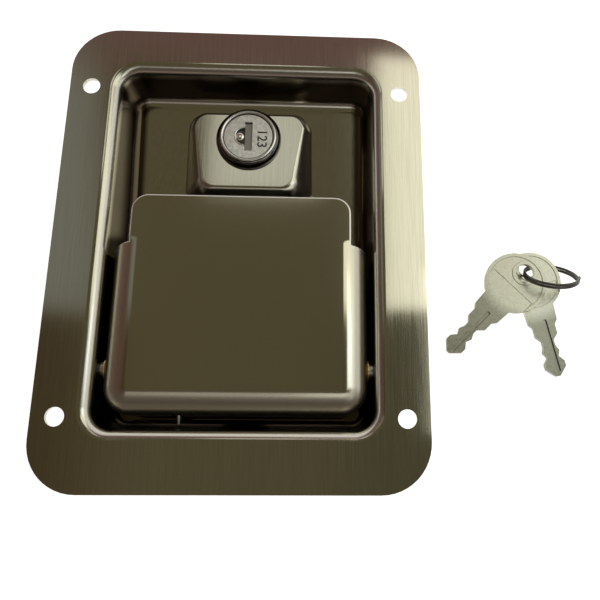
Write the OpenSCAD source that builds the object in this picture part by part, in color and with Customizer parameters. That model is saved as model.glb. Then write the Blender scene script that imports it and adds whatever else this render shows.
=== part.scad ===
// Flush slam paddle latch for a door or a tool box lid, with its two keys on a split ring.
// Lying on its back: +Z points out of the door, +Y runs from the bolt end to the lock end.
// The origin is the centre of the mounting holes, on the rear face of the flange.

/* [Flange] */
// Width of the flange
flange_w = 108; // [106:1:120]
// Length of the flange
flange_l = 140; // [136:1:150]
// Corner radius of the flange
flange_r = 14; // [6:1:18]
// Thickness of the pan's sheet
pan_t = 1.2; // [0.9:0.1:1.5]
// Mounting hole spacing across
hole_x = 95; // [92:1:97]
// Mounting hole spacing along
hole_y = 100; // [90:1:110]
// Mounting hole diameter
hole_d = 5.2; // [4:0.1:6.5]

/* [Recess] */
// Distance from the flange's long edges to the recess walls
margin_side = 15; // [13:0.5:18]
// Distance from the flange's edge to the recess wall at the bolt end
margin_low = 16.8; // [14:0.2:20]
// Distance from the flange's edge to the recess wall at the lock end
margin_high = 14; // [12:0.2:16]
// Depth of the floor below the front face
recess_depth = 19; // [18:0.5:23]
// Corner radius of the recess in plan
recess_r = 6; // [4:0.5:9]
// Outside radius of the rolled lip
lip_r = 3.2; // [2:0.1:4]
// Radius between the floor and the walls
floor_r = 2.5; // [1.5:0.1:3.5]
// Slope of the walls from upright
wall_draft = 4.5; // [3:0.5:5]
// Where the floor starts to rise towards the lock end
floor_bend_y = 15; // [13:0.5:17]
// How far the floor has risen at the lock end
floor_rise = 4.5; // [2:0.1:5]

/* [Lock boss] */
// Depth of the boss face below the front face
boss_depth = 11.5; // [10:0.5:12.5]
// Width of the boss face at its lock end
boss_wide = 33; // [30:0.5:36]
// Width of the boss face at its paddle end
boss_narrow = 27.6; // [26:0.2:30]
// Spread of the boss foot beyond the face on each side
boss_flare = 3; // [2:0.2:4]
// Radius along the edges of the boss
boss_r = 3; // [2:0.1:3.4]

/* [Paddle] */
// Thickness of the paddle's sheet
paddle_t = 1.4; // [1:0.1:1.8]
// How far the paddle's face lies below the front face
paddle_sink = 0.5; // [0:0.1:1.5]
// Gap between the paddle and the side walls
paddle_gap = 1.8; // [1.7:0.1:4]
// Gap between the paddle and the wall at the bolt end
paddle_gap_low = 4.1; // [4:0.1:7]
// Length of the flanged part of the paddle
paddle_l = 49.6; // [46:0.2:52]
// How far the finger tab reaches beyond the flanged part
tab_l = 14.5; // [11:0.5:16]
// How much narrower than the paddle the finger tab is on each side
tab_step = 4.8; // [3:0.1:6]
// Corner radius of the finger tab
tab_r = 5; // [2:0.5:8]
// Outside radius of the paddle's bends
bend_r = 6; // [4:0.1:6.5]
// Corner radius of the paddle in plan
paddle_r = 7; // [6.6:0.1:9]
// Height of the paddle's flanges
paddle_h = 12; // [11:0.5:12.5]
// Largest angle to which the paddle lifts
lift_deg = 32; // [20:1:34]

/* [Pivot] */
// Distance from the recess wall to the pivot
pivot_inset = 17; // [16:0.5:19]
// Depth of the pivot below the front face
pivot_depth = 8; // [7.5:0.1:8.5]
// Diameter of the pivot pin
pin_d = 4; // [3.5:0.1:4.4]
// Wire diameter of the paddle spring
paddle_wire = 1.2; // [0.9:0.1:1.3]

/* [Bolt] */
// Width of the bolt
bolt_w = 22; // [21:0.5:26]
// Thickness of the bolt
bolt_t = 10; // [9.5:0.5:12]
// How far the bolt's nose reaches beyond the recess wall
bolt_reach = 12.8; // [10:0.2:15]
// Thickness of the trip lever's tongue
tongue_t = 2.5; // [2:0.1:2.8]
// Width of the trip lever
lever_w = 14; // [12:0.5:14]
// Thickness of the housing's sheet
channel_t = 1.6; // [1.2:0.1:2]
// Width of each foot of the housing
foot_w = 9; // [8.5:0.5:12]
// Wire diameter of the bolt spring
bolt_wire = 1; // [0.8:0.1:1.2]
// Outside diameter of the bolt spring
bolt_coil_d = 7.6; // [7:0.1:8]
// Diameter of the spring guide
guide_d = 3.5; // [3:0.1:4]
// Diameter of the rivets
rivet_d = 3.2; // [2.5:0.1:4]

/* [Lock] */
// Distance from the recess wall to the lock axis
lock_inset = 16.7; // [16:0.1:18]
// Outside diameter of the bezel
bezel_d = 21; // [19:0.5:23]
// Height of the bezel above the boss
bezel_h = 2.6; // [2:0.1:3.5]
// Diameter of the plug's face
plug_d = 15.6; // [14:0.1:16.5]
// Diameter of the lock barrel
barrel_d = 15; // [14.4:0.1:15.4]
// Diameter of the plug inside the barrel
core_d = 11; // [10.6:0.1:11.4]
// Width of the keyway
keyway_w = 2.4; // [2.2:0.1:2.6]
// Height of the keyway
keyway_h = 8.4; // [8.2:0.1:8.8]
// Diameter of the half-round dip beside the keyway
lobe_d = 6; // [4:0.1:7]
// Reach of the cam from the lock axis
cam_l = 25; // [23:0.5:26]
// Width of the cam's arm
cam_w = 8; // [6:0.5:9]
// Thickness of the cam
cam_t = 2.5; // [2:0.1:3]

/* [Keys] */
// Diameter of a key's bow
bow_d = 20.5; // [19:0.5:22]
// Length from the ring hole to the tip
key_l = 37.5; // [33:0.5:40]
// Thickness of a key
key_t = 2; // [1.6:0.1:2.1]
// Width of a key's blade
blade_w = 7.4; // [6.5:0.1:8]
// Diameter of the ring hole in a bow
key_hole_d = 6; // [5.6:0.1:6.5]
// Mean diameter of the split ring
ring_d = 17.5; // [17:0.5:20]
// Wire diameter of the split ring
ring_wire = 0.9; // [0.7:0.1:1]

/* [Hidden] */
$fn = 64;

// Clearances
run_gap = 0.05;
slide_gap = 0.2;
seat_gap = 0.1;
drive_gap = 0.4;
cut = 1;

// Levels of the pan
recess_w = flange_w - 2 * margin_side;
recess_low = flange_l / 2 - margin_low;
recess_high = flange_l / 2 - margin_high;
front_z = pan_t;
lip_z = front_z - lip_r;
floor_z = front_z - recess_depth;
floor_rear = floor_z - pan_t;
boss_z = front_z - boss_depth;
boss_rear = boss_z - pan_t;
lip_overlap = 0.3;
lip_lap = 0.6;
top_inset = (recess_depth - floor_rise) * tan(wall_draft);
low_inset = recess_depth * tan(wall_draft);
function wall_x(z) = recess_w / 2 - (lip_z - z) * tan(wall_draft);
function floor_at(y) = floor_z + max(0, y - floor_bend_y) * floor_rise / (recess_high - floor_bend_y);

// Outline of the boss
lock_y = recess_high - lock_inset;
boss_foot_r = 0.6;
boss_edge_min = 0.4;
boss_over = 9.2;
boss_under = 17.3;
boss_foot_over = 11.2;
boss_foot_under = 21.8;

// Paddle and pivot
paddle_z = front_z - paddle_sink;
paddle_w = recess_w - 2 * paddle_gap;
paddle_low = -recess_low + paddle_gap_low;
shoulder_y = paddle_low + paddle_l;
tab_w = paddle_w - 2 * tab_step;
relief_r = 1;
pivot_y = -recess_low + pivot_inset;
pivot_z = front_z - pivot_depth;
bush_d = pin_d + 1.2;
bush_collar_d = pin_d + 2.4;
bush_collar_t = 0.5;
bush_stand = 0.6;
pin_seat = wall_x(pivot_z) + pan_t / cos(wall_draft);
pin_head_d = pin_d + 3;
pin_head_t = 1.5;
pin_head_gap = 0.45;
pin_tail = 1.2;
clip_t = 1;
clip_d = pin_d + 5;
groove_d = pin_d - 0.8;

// Trip lever
bolt_front = floor_rear - slide_gap;
tip_r = tongue_t / 2 + 0.2;
tip_z = bolt_front - 4.6;
lever_l = pivot_z - tip_z;
hub_d = pin_d + 5;
lever_gap = 1;
foot_t = 1.5;
flat_reach = pivot_y - paddle_low - bend_r;
foot_l = 2 * flat_reach - lever_gap;
travel = lever_l * sin(lift_deg);

// Paddle spring
paddle_coil_r = pin_d / 2 + paddle_wire / 2 + 0.7;
paddle_turns = 6;
paddle_pitch = paddle_wire + 0.2;
paddle_coil_x = -lever_w / 2 - 2 - paddle_turns * paddle_pitch;
leg_end_y = -recess_low + 2.1;
leg_notch = paddle_wire + 2;
leg_drop = 3;
leg_sag = 0.2;
leg_reach = flat_reach - paddle_wire / 2;
leg_turn = leg_reach / 2;

// Bolt and housing
bolt_rear = bolt_front - bolt_t;
channel_in = bolt_rear - slide_gap;
rest_z = channel_in - channel_t;
channel_w = bolt_w + 2 * slide_gap;
channel_low = -recess_low + 3.2;
channel_r = 2.4;
nose_y = -recess_low - bolt_reach;
nose_flat = 2.5;
bevel_l = 13;
pocket_w = lever_w + 2;
pocket_high = pivot_y + tip_r + drive_gap;
pocket_low = pivot_y - travel - tip_r - lever_gap;
pocket_z = tip_z - tip_r - 0.75;
guide_depth = travel + 4.4;
bolt_high = pocket_high + lever_gap + guide_depth;
seat_depth = 4;
spring_l = 28;
tab_y = bolt_high - seat_depth + spring_l;
guide_x = 5.8;
guide_lap = 3;
guide_head_d = guide_d + 2.5;
guide_head_t = 1.5;
guide_z = (bolt_front + bolt_rear) / 2;
strap_low_x = -bolt_w / 2 + 1;
strap_high_x = 1;
strap_rear = bolt_rear + 1.2;
strap_t = 3.4;
strap_high = lock_y - cam_l - 0.8;
stop_d = 4;
stop_x = -5;
stop_depth = 2;
stop_y = pocket_high + 4;
rivet_x = channel_w / 2 + channel_t + foot_w / 2;
rivet_ys = [bolt_high - 4, tab_y - 6];
rivet_head_d = rivet_d + 2.8;
rivet_head_t = 1.2;
foot_low = channel_low + 4;

// Lock
cam_z = strap_rear + strap_t / 2 - cam_t / 2;
barrel_low = cam_z + cam_t + seat_gap;
plug_head_t = 2;
plug_sink = 0.4;
plug_face_z = boss_z + bezel_h - plug_sink;
core_top = plug_face_z - plug_head_t;
bezel_round = bezel_h * 0.9;
keyway_floor = 1;
mouth_h = keyway_h + 1.6;
mouth_depth = 1.2;
lobe_depth = 1.2;
post = 6;
flat_depth = 1;
clip_sheet = 1.2;
clip_flat = barrel_d / 2 - flat_depth;
clip_bite = 0.5;
clip_reach = barrel_d / 2 + 3;
clip_bridge = 3;
clip_throat = 2.5;
clip_tail = 4;
wafer_t = 1;
wafer_pitch = 2;
wafer_count = 4;
wafer_w = 5;
wafer_first = 1.5;
wafer_l = core_d - 2;
wafer_window = keyway_h - 2.6;
wafer_shifts = [0.3, -0.3, 0.5, 0];
washer_t = 0.8;
screw_d = 4;
screw_head_d = 8;
screw_head_t = 2.2;
screw_head_taper = 1.6;
screw_slot_l = 4.4;
screw_slot_w = 1;
screw_slot_depth = 1.2;
cam_hub_d = 14;

// Keys: places chosen on the table beside the latch
ring_at = [101.4, -1.4];
ring_tilt = 50;
key_left_turn = -45;
key_right_turn = 13;
key_left_tilt = 5.5;
key_right_tilt = 2.5;
hole_offset = 4.7;
neck_w = 11;
neck_in = 0.6;
neck_l = 6;
neck_lap = 3;
neck_y = hole_offset + bow_d / 2 - 2;
key_shoulder = 1.5;
tip_l = 2.8;
tip_flat = 0.6;
bit_pitch = 1.85;
left_bits = [0.3, 0.3, 1.9, 0.8, 1.6, 1.6, 0];
right_bits = [0.3, 0.3, 1.8, 1, 1.9, 1.9, 0];
bow_rim = 1.2;
bow_sunk = 0.25;
band_w = 4.4;
band_l = bow_d - 2 * bow_rim - 1;
band_y = 3.6;
band_depth = 0.15;
groove_w = 1.1;
groove_x = 0.6;
groove_end = 1.6;
groove_depth = 0.55;
groove_root = 5;
ring_r = ring_d / 2;
ring_z = rest_z + ring_wire + ring_r * sin(ring_tilt);
key_left_phi = 168;
key_right_phi = 141;
key_right_side = [0.2, 0.15, 0];

// A point on the split ring's mean circle
function ring_point(phi) = [
    ring_at.x + ring_r * cos(phi),
    ring_at.y + ring_r * sin(phi) * cos(ring_tilt),
    ring_z - ring_r * sin(phi) * sin(ring_tilt)];

// A round wire swept along a path, with its sections set by an axis that the path never follows
module wire(path, r, axis, sides = 8) {
    last = len(path) - 1;
    function along(i) = path[min(i + 1, last)] - path[max(i - 1, 0)];
    function unit(v) = v / norm(v);
    function side_of(i) = unit(cross(along(i), axis));
    function up_of(i) = unit(cross(side_of(i), along(i)));
    ring_points = [for (i = [0:last]) for (k = [0:sides - 1])
        path[i] + r * (cos(360 * k / sides) * side_of(i) + sin(360 * k / sides) * up_of(i))];
    walls = [for (i = [0:last - 1]) for (k = [0:sides - 1])
        [i * sides + k, i * sides + (k + 1) % sides, (i + 1) * sides + (k + 1) % sides, (i + 1) * sides + k]];
    first_cap = [[for (k = [sides - 1:-1:0]) k]];
    last_cap = [[for (k = [0:sides - 1]) last * sides + k]];
    polyhedron(ring_points, concat(first_cap, walls, last_cap));
}

// A plate outline with four round corners
module rounded(w, l, r) {
    square([w - 2 * r, l], center = true);
    square([w, l - 2 * r], center = true);
    for (x = [-1, 1], y = [-1, 1])
        translate([x * (w / 2 - r), y * (l / 2 - r)]) circle(r);
}

// Carries an XZ section along Y
module along_y(l) {
    rotate([90, 0, 0]) linear_extrude(l, center = true) children();
}

// Round bar along X
module bar_x(d, from, to) {
    translate([from, 0, 0]) rotate([0, 90, 0]) cylinder(d = d, h = to - from);
}

// Section of the rolled lip, at a distance from its centre line, with a tail that laps the flange
module lip_section(from) {
    translate([from + lip_r, lip_z]) {
        intersection() {
            difference() {
                circle(lip_r);
                circle(lip_r - pan_t);
            }
            translate([-lip_r, 0]) square(lip_r);
        }
        translate([0, lip_r - pan_t]) square([lip_lap, pan_t]);
    }
}

// Rolled lip around the mouth of the recess
module lip() {
    mid_y = (recess_high - recess_low) / 2;
    half_l = (recess_high + recess_low) / 2;
    half_w = recess_w / 2;
    translate([0, mid_y, 0]) {
        for (side = [0, 1]) mirror([side, 0, 0]) {
            along_y(2 * (half_l - recess_r)) lip_section(half_w);
            translate([half_w - recess_r, half_l - recess_r, 0])
                rotate_extrude(angle = 90) lip_section(recess_r);
            mirror([0, 1, 0]) translate([half_w - recess_r, half_l - recess_r, 0])
                rotate_extrude(angle = 90) lip_section(recess_r);
        }
        for (turn = [90, -90]) rotate(turn)
            along_y(2 * (half_w - recess_r)) lip_section(half_l);
    }
}

// The recess as a solid, grown by a wall: upright at the lip, drawn in to a floor that rises
module recess_form(grow, top) {
    low_w = recess_w / 2 - low_inset;
    top_w = recess_w / 2 - top_inset;
    tube_r = floor_r + grow;
    turn_r = recess_r - floor_r;
    hull() {
        for (x = [-1, 1], y = [-recess_low + recess_r, recess_high - recess_r])
            translate([x * (recess_w / 2 - recess_r), y, lip_z])
                cylinder(r = recess_r + grow, h = top, $fn = 32);
        for (x = [-1, 1]) {
            translate([x * (low_w - recess_r), -recess_low + low_inset + recess_r, floor_z + floor_r])
                ring_corner(turn_r, tube_r);
            translate([x * (low_w - recess_r), floor_bend_y, floor_z + floor_r])
                ring_corner(turn_r, tube_r);
            translate([x * (top_w - recess_r), recess_high - top_inset - recess_r, floor_z + floor_rise + floor_r])
                ring_corner(turn_r, tube_r);
        }
    }
}

// Round corner of the floor
module ring_corner(turn_r, tube_r) {
    rotate_extrude($fn = 32) intersection() {
        translate([turn_r, 0]) circle(tube_r, $fn = 24);
        translate([0, -tube_r]) square(2 * (turn_r + tube_r));
    }
}

// The boss as a solid, shrunk by a wall and let down at its foot
module boss_form(shrink, drop) {
    edge_r = max(boss_r - shrink, boss_edge_min);
    ends = [
        [lock_y + boss_over, boss_wide / 2, lock_y + boss_foot_over],
        [lock_y - boss_under, boss_narrow / 2, lock_y - boss_foot_under]];
    hull() {
        for (x = [-1, 1], k = [0, 1]) {
            end = ends[k];
            inward = k == 0 ? -1 : 1;
            translate([x * (end[1] - boss_r), end[0] + inward * boss_r, boss_z - shrink - edge_r])
                sphere(edge_r, $fn = 24);
            translate([
                x * (boss_wide / 2 + boss_flare - shrink - boss_foot_r),
                end[2] + inward * (shrink + boss_foot_r),
                floor_at(end[2]) - pan_t / 2 - drop])
                sphere(boss_foot_r, $fn = 16);
        }
    }
}

module pan() {
    color("#8f8b78") difference() {
        union() {
            linear_extrude(pan_t) difference() {
                rounded(flange_w, flange_l, flange_r);
                translate([0, (recess_high - recess_low) / 2])
                    rounded(recess_w + 2 * lip_r, recess_high + recess_low + 2 * lip_r, recess_r + lip_r);
            }
            lip();
            difference() {
                recess_form(pan_t, lip_overlap);
                recess_form(0, lip_overlap + cut);
            }
            boss_form(0, 0);
        }
        boss_form(pan_t, pan_t + cut);
        for (x = [-1, 1], y = [-1, 1])
            translate([x * hole_x / 2, y * hole_y / 2, -cut]) cylinder(d = hole_d, h = pan_t + 2 * cut);
        translate([0, pivot_y, pivot_z]) bar_x(pin_d + 2 * run_gap, -flange_w / 2, flange_w / 2);
        translate([0, lock_y, boss_rear - cut]) intersection() {
            cylinder(d = barrel_d + 2 * seat_gap, h = pan_t + 2 * cut);
            translate([-clip_flat - seat_gap, -barrel_d, 0])
                cube([2 * (clip_flat + seat_gap), 2 * barrel_d, pan_t + 2 * cut]);
        }
        translate([-lever_w / 2 - lever_gap, pivot_y - tongue_t / 2 - lever_gap, floor_rear - cut])
            cube([lever_w + 2 * lever_gap, slot_l(), pan_t + 2 * cut]);
        for (x = [-1, 1], y = rivet_ys)
            translate([x * rivet_x, y, floor_rear - cut]) cylinder(d = rivet_d + 2 * run_gap, h = pan_t + 2 * cut);
    }
}

// Length of the floor slot that the lifted tongue needs
function slot_l() = (pivot_z - floor_rear) * tan(lift_deg)
    + tongue_t / 2 + tongue_t / 2 / cos(lift_deg) + 2 * lever_gap;

// Section of a bend and its flange, at a distance from the centre line
module bend_section(from) {
    translate([from - bend_r, paddle_z - bend_r]) intersection() {
        difference() {
            circle(bend_r);
            circle(bend_r - paddle_t);
        }
        square(bend_r);
    }
    translate([from - paddle_t, paddle_z - paddle_h]) square([paddle_t, paddle_h - bend_r]);
}

module paddle() {
    corner_y = paddle_low + paddle_r;
    flat_w = paddle_w - 2 * bend_r;
    round_w = paddle_w - 2 * paddle_r;
    color("#5c5640") difference() {
        union() {
            translate([0, 0, paddle_z - paddle_t]) linear_extrude(paddle_t) {
                translate([-flat_w / 2, corner_y]) square([flat_w, shoulder_y - corner_y]);
                translate([-round_w / 2, paddle_low + bend_r]) square([round_w, paddle_r - bend_r]);
                for (x = [-1, 1]) translate([x * round_w / 2, corner_y]) circle(paddle_r - bend_r);
                translate([-tab_w / 2, shoulder_y]) square([tab_w, tab_l - tab_r]);
                translate([-tab_w / 2 + tab_r, shoulder_y]) square([tab_w - 2 * tab_r, tab_l]);
                for (x = [-1, 1])
                    translate([x * (tab_w / 2 - tab_r), shoulder_y + tab_l - tab_r]) circle(tab_r);
            }
            for (side = [0, 1]) mirror([side, 0, 0]) {
                translate([0, (corner_y + shoulder_y) / 2, 0])
                    along_y(shoulder_y - corner_y) bend_section(paddle_w / 2);
                translate([round_w / 2, corner_y, 0]) rotate(-90)
                    rotate_extrude(angle = 90) bend_section(paddle_r);
            }
            translate([0, corner_y, 0]) rotate(-90) along_y(round_w) bend_section(paddle_r);
        }
        for (x = [-1, 1])
            translate([x * tab_w / 2, shoulder_y, paddle_z - paddle_h - cut])
                cylinder(r = relief_r, h = paddle_h + 2 * cut);
        translate([0, pivot_y, pivot_z]) bar_x(bush_d + 2 * run_gap, -paddle_w / 2 - cut, paddle_w / 2 + cut);
        translate([paddle_coil_x - leg_notch / 2, paddle_low - cut, paddle_z - paddle_h - cut])
            cube([leg_notch, paddle_t + 2 * cut, paddle_h - bend_r + cut]);
    }
}

module pivot_bushes() {
    side = paddle_w / 2;
    color("#b08d4a") translate([0, pivot_y, pivot_z])
        for (turn = [0, 1]) mirror([turn, 0, 0]) difference() {
            union() {
                bar_x(bush_d, side - paddle_t - bush_stand, side + bush_collar_t);
                bar_x(bush_collar_d, side, side + bush_collar_t);
            }
            bar_x(pin_d + 2 * run_gap, side - paddle_t - cut, side + bush_collar_t + cut);
        }
}

module pivot_pin() {
    head = pin_seat + pin_head_gap;
    color("#b9b6ab") translate([0, pivot_y, pivot_z]) difference() {
        union() {
            bar_x(pin_d, -head, head + clip_t + pin_tail);
            bar_x(pin_head_d, -head - pin_head_t, -head);
        }
        difference() {
            bar_x(pin_d + cut, head, head + clip_t);
            bar_x(groove_d, head - cut, head + clip_t + cut);
        }
    }
}

module pin_clip() {
    at = pin_seat + pin_head_gap + run_gap;
    color("#4a4a48") translate([0, pivot_y, pivot_z]) difference() {
        bar_x(clip_d, at, at + clip_t - 2 * run_gap);
        bar_x(groove_d + 2 * run_gap, at - cut, at + clip_t + cut);
        translate([at - cut, -groove_d / 2 - run_gap, -clip_d])
            cube([clip_t + 2 * cut, groove_d + 2 * run_gap, clip_d]);
    }
}

module trip_lever() {
    under = paddle_z - paddle_t;
    color("#a09c8c") difference() {
        union() {
            translate([0, pivot_y, pivot_z]) bar_x(hub_d, -lever_w / 2, lever_w / 2);
            translate([-lever_w / 2, pivot_y - foot_l / 2, under - foot_t]) cube([lever_w, foot_l, foot_t]);
            translate([-lever_w / 2, pivot_y - tongue_t, pivot_z]) cube([lever_w, 2 * tongue_t, under - pivot_z]);
            translate([-lever_w / 2, pivot_y - tongue_t / 2, tip_z]) cube([lever_w, tongue_t, lever_l]);
            translate([0, pivot_y, tip_z]) bar_x(2 * tip_r, -lever_w / 2, lever_w / 2);
        }
        translate([0, pivot_y, pivot_z]) bar_x(pin_d + 2 * run_gap, -lever_w, lever_w);
    }
}

module paddle_spring() {
    steps = 14;
    leg_z = pivot_z - paddle_coil_r;
    foot_z = leg_z - leg_drop;
    top_z = paddle_z - paddle_t - paddle_wire / 2 - seat_gap;
    coil_end = paddle_coil_x + paddle_turns * paddle_pitch;
    floor_leg = [
        [paddle_coil_x, leg_end_y, foot_z],
        [paddle_coil_x, (leg_end_y + pivot_y) / 2, (foot_z + leg_z) / 2 - leg_sag]];
    coil = [for (i = [0:steps * paddle_turns + steps / 2])
        [paddle_coil_x + i * paddle_pitch / steps,
         pivot_y - paddle_coil_r * sin(-360 * i / steps),
         pivot_z - paddle_coil_r * cos(360 * i / steps)]];
    paddle_leg = [
        [coil_end + paddle_pitch / 2, pivot_y - leg_turn, (pivot_z + paddle_coil_r + top_z) / 2],
        [coil_end + paddle_pitch / 2, pivot_y - leg_reach, top_z]];
    color("#c3c0b4") wire(concat(floor_leg, coil, paddle_leg), paddle_wire / 2, [1, 0, 0]);
}

// Hat section of the housing
module channel_section() {
    outer_w = channel_w / 2 + channel_t;
    difference() {
        union() {
            translate([-outer_w, rest_z + channel_r]) square([2 * outer_w, floor_rear - rest_z - channel_r]);
            translate([-outer_w + channel_r, rest_z]) square([2 * (outer_w - channel_r), channel_r]);
            for (x = [-1, 1]) translate([x * (outer_w - channel_r), rest_z + channel_r]) circle(channel_r);
        }
        translate([-channel_w / 2, channel_in]) square([channel_w, floor_rear - channel_in + cut]);
    }
}

module bolt_housing() {
    outer_w = channel_w / 2 + channel_t;
    channel_high = tab_y + channel_t;
    color("#9a9788") difference() {
        union() {
            translate([0, (channel_low + channel_high) / 2, 0])
                along_y(channel_high - channel_low) channel_section();
            for (side = [0, 1]) mirror([side, 0, 0])
                translate([outer_w - channel_t, foot_low, floor_rear - channel_t])
                    cube([channel_t + foot_w, channel_high - foot_low, channel_t]);
            translate([strap_high_x + lever_gap, tab_y, channel_in - channel_t / 2])
                cube([channel_w / 2 - strap_high_x - lever_gap + channel_t / 2, channel_t,
                    floor_rear - slide_gap - channel_in + channel_t / 2]);
        }
        translate([guide_x, tab_y - cut, guide_z]) rotate([-90, 0, 0])
            cylinder(d = guide_d + 2 * run_gap, h = channel_t + 2 * cut);
        translate([stop_x, stop_y, rest_z - cut]) cylinder(d = stop_d + 2 * run_gap, h = channel_t + 2 * cut);
        for (x = [-1, 1], y = rivet_ys)
            translate([x * rivet_x, y, floor_rear - channel_t - cut])
                cylinder(d = rivet_d + 2 * run_gap, h = channel_t + 2 * cut);
    }
}

module housing_rivets() {
    color("#b9b6ab") for (x = [-1, 1], y = rivet_ys) translate([x * rivet_x, y, 0]) {
        translate([0, 0, floor_rear - channel_t - rivet_head_t])
            cylinder(d = rivet_d, h = channel_t + pan_t + 2 * rivet_head_t);
        translate([0, 0, floor_rear - channel_t - rivet_head_t]) cylinder(d = rivet_head_d, h = rivet_head_t);
        translate([0, 0, floor_z]) cylinder(d1 = rivet_head_d, d2 = rivet_head_d - 2, h = rivet_head_t);
    }
}

module latch_bolt() {
    color("#a5a294") difference() {
        union() {
            translate([-bolt_w / 2, nose_y, bolt_rear]) cube([bolt_w, bolt_high - nose_y, bolt_t]);
            translate([strap_low_x, bolt_high - cut, strap_rear])
                cube([strap_high_x - strap_low_x, strap_high - bolt_high + cut, strap_t]);
        }
        rotate([90, 0, 90]) linear_extrude(2 * bolt_w, center = true) polygon([
            [nose_y - cut, bolt_front - nose_flat],
            [nose_y, bolt_front - nose_flat],
            [nose_y + bevel_l, bolt_rear],
            [nose_y + bevel_l, bolt_rear - cut],
            [nose_y - cut, bolt_rear - cut]]);
        translate([-pocket_w / 2, pocket_low, pocket_z])
            cube([pocket_w, pocket_high - pocket_low, bolt_front - pocket_z + cut]);
        translate([guide_x, bolt_high + cut, guide_z]) rotate([90, 0, 0]) {
            cylinder(d = bolt_coil_d + 2 * slide_gap, h = seat_depth + cut);
            cylinder(d = guide_d + 2 * slide_gap, h = guide_depth + cut);
        }
        stop_slot();
    }
}

// Slot in the rear of the bolt, whose end meets the stop pin at rest
module stop_slot() {
    slot_r = stop_d / 2 + slide_gap;
    translate([stop_x, stop_y, bolt_rear - cut]) {
        cylinder(r = slot_r, h = stop_depth + cut);
        translate([0, -travel - lever_gap, 0]) cylinder(r = slot_r, h = stop_depth + cut);
        translate([-slot_r, -travel - lever_gap, 0]) cube([2 * slot_r, travel + lever_gap, stop_depth + cut]);
    }
}

module bolt_spring() {
    steps = 14;
    turns = 9;
    coil_r = (bolt_coil_d - bolt_wire) / 2;
    from = bolt_high - seat_depth + bolt_wire / 2;
    pitch = (spring_l - bolt_wire - seat_gap) / turns;
    color("#c3c0b4") wire([for (i = [0:steps * turns])
        [guide_x + coil_r * cos(360 * i / steps),
         from + i * pitch / steps,
         guide_z + coil_r * sin(360 * i / steps)]], bolt_wire / 2, [0, 1, 0]);
}

module spring_guide() {
    low = bolt_high - guide_lap;
    color("#b9b6ab") translate([guide_x, low, guide_z]) rotate([-90, 0, 0]) {
        cylinder(d = guide_d, h = tab_y + channel_t + guide_head_t - low);
        translate([0, 0, tab_y + channel_t - low]) cylinder(d = guide_head_d, h = guide_head_t);
    }
}

module bolt_stop_pin() {
    color("#b9b6ab") translate([stop_x, stop_y, rest_z])
        cylinder(d = stop_d, h = bolt_rear + stop_depth - slide_gap - rest_z);
}

module lock_housing() {
    bezel_r = bezel_d / 2;
    color("#c9c8c2") translate([0, lock_y, 0]) difference() {
        union() {
            translate([0, 0, boss_z]) rotate_extrude() {
                square([bezel_r - bezel_round, bezel_h]);
                square([bezel_r, bezel_h - bezel_round]);
                translate([bezel_r - bezel_round, bezel_h - bezel_round]) intersection() {
                    circle(bezel_round);
                    square(bezel_round);
                }
            }
            intersection() {
                translate([0, 0, barrel_low]) cylinder(d = barrel_d, h = boss_z - barrel_low + cut / 2);
                translate([-clip_flat, -barrel_d, barrel_low])
                    cube([2 * clip_flat, 2 * barrel_d, boss_z - barrel_low + cut / 2]);
            }
        }
        translate([0, 0, core_top - run_gap]) cylinder(d = plug_d + 2 * run_gap, h = plug_head_t + bezel_h);
        translate([0, 0, barrel_low - cut]) cylinder(d = core_d + 2 * run_gap, h = core_top - barrel_low + 2 * cut);
        for (x = [-1, 1])
            translate([x * clip_flat, 0, boss_rear - clip_sheet / 2 - seat_gap])
                cube([2 * clip_bite, barrel_d, clip_sheet + 2 * seat_gap], center = true);
    }
}

module lock_plug() {
    blade_depth = core_top - barrel_low - keyway_floor;
    color("#bdb9ab") translate([0, lock_y, 0]) difference() {
        union() {
            translate([0, 0, core_top]) cylinder(d = plug_d, h = plug_head_t);
            translate([0, 0, barrel_low]) cylinder(d = core_d, h = core_top - barrel_low + cut / 2);
            translate([-post / 2, -post / 2, cam_z]) cube([post, post, barrel_low - cam_z + cut / 2]);
        }
        translate([-keyway_w / 2, -keyway_h / 2, plug_face_z - blade_depth])
            cube([keyway_w, keyway_h, blade_depth + cut]);
        translate([-keyway_w / 2, -mouth_h / 2, plug_face_z - mouth_depth])
            cube([keyway_w, mouth_h, mouth_depth + cut]);
        translate([0, 0, plug_face_z - lobe_depth]) intersection() {
            translate([-keyway_w / 2, 0, 0]) cylinder(d = lobe_d, h = lobe_depth + cut);
            translate([-lobe_d, -lobe_d, 0]) cube([lobe_d, 2 * lobe_d, lobe_depth + cut]);
        }
        for (k = [0:wafer_count - 1]) translate([0, 0, wafer_at(k)]) wafer_slot(run_gap);
        translate([0, 0, cam_z - cut]) cylinder(d = screw_d + 2 * run_gap, h = barrel_low - cam_z + cut);
    }
}

// Height of a wafer in the plug
function wafer_at(k) = core_top - wafer_first - wafer_t - k * wafer_pitch;

// Space of one wafer across the plug
module wafer_slot(gap) {
    translate([-wafer_w / 2 - gap, -core_d / 2 - cut, -gap])
        cube([wafer_w + 2 * gap, core_d + 2 * cut, wafer_t + 2 * gap]);
}

module lock_wafers() {
    window = [keyway_w + 2 * seat_gap, wafer_window];
    color("#c2a45e") translate([0, lock_y, 0]) for (k = [0:wafer_count - 1])
        translate([0, 0, wafer_at(k)]) linear_extrude(wafer_t) difference() {
            intersection() {
                translate([-wafer_w / 2, -wafer_l / 2 + wafer_shifts[k]]) square([wafer_w, wafer_l]);
                circle(d = core_d);
            }
            translate([-window[0] / 2, -window[1] / 2 + wafer_shifts[k]]) square(window);
        }
}

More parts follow.
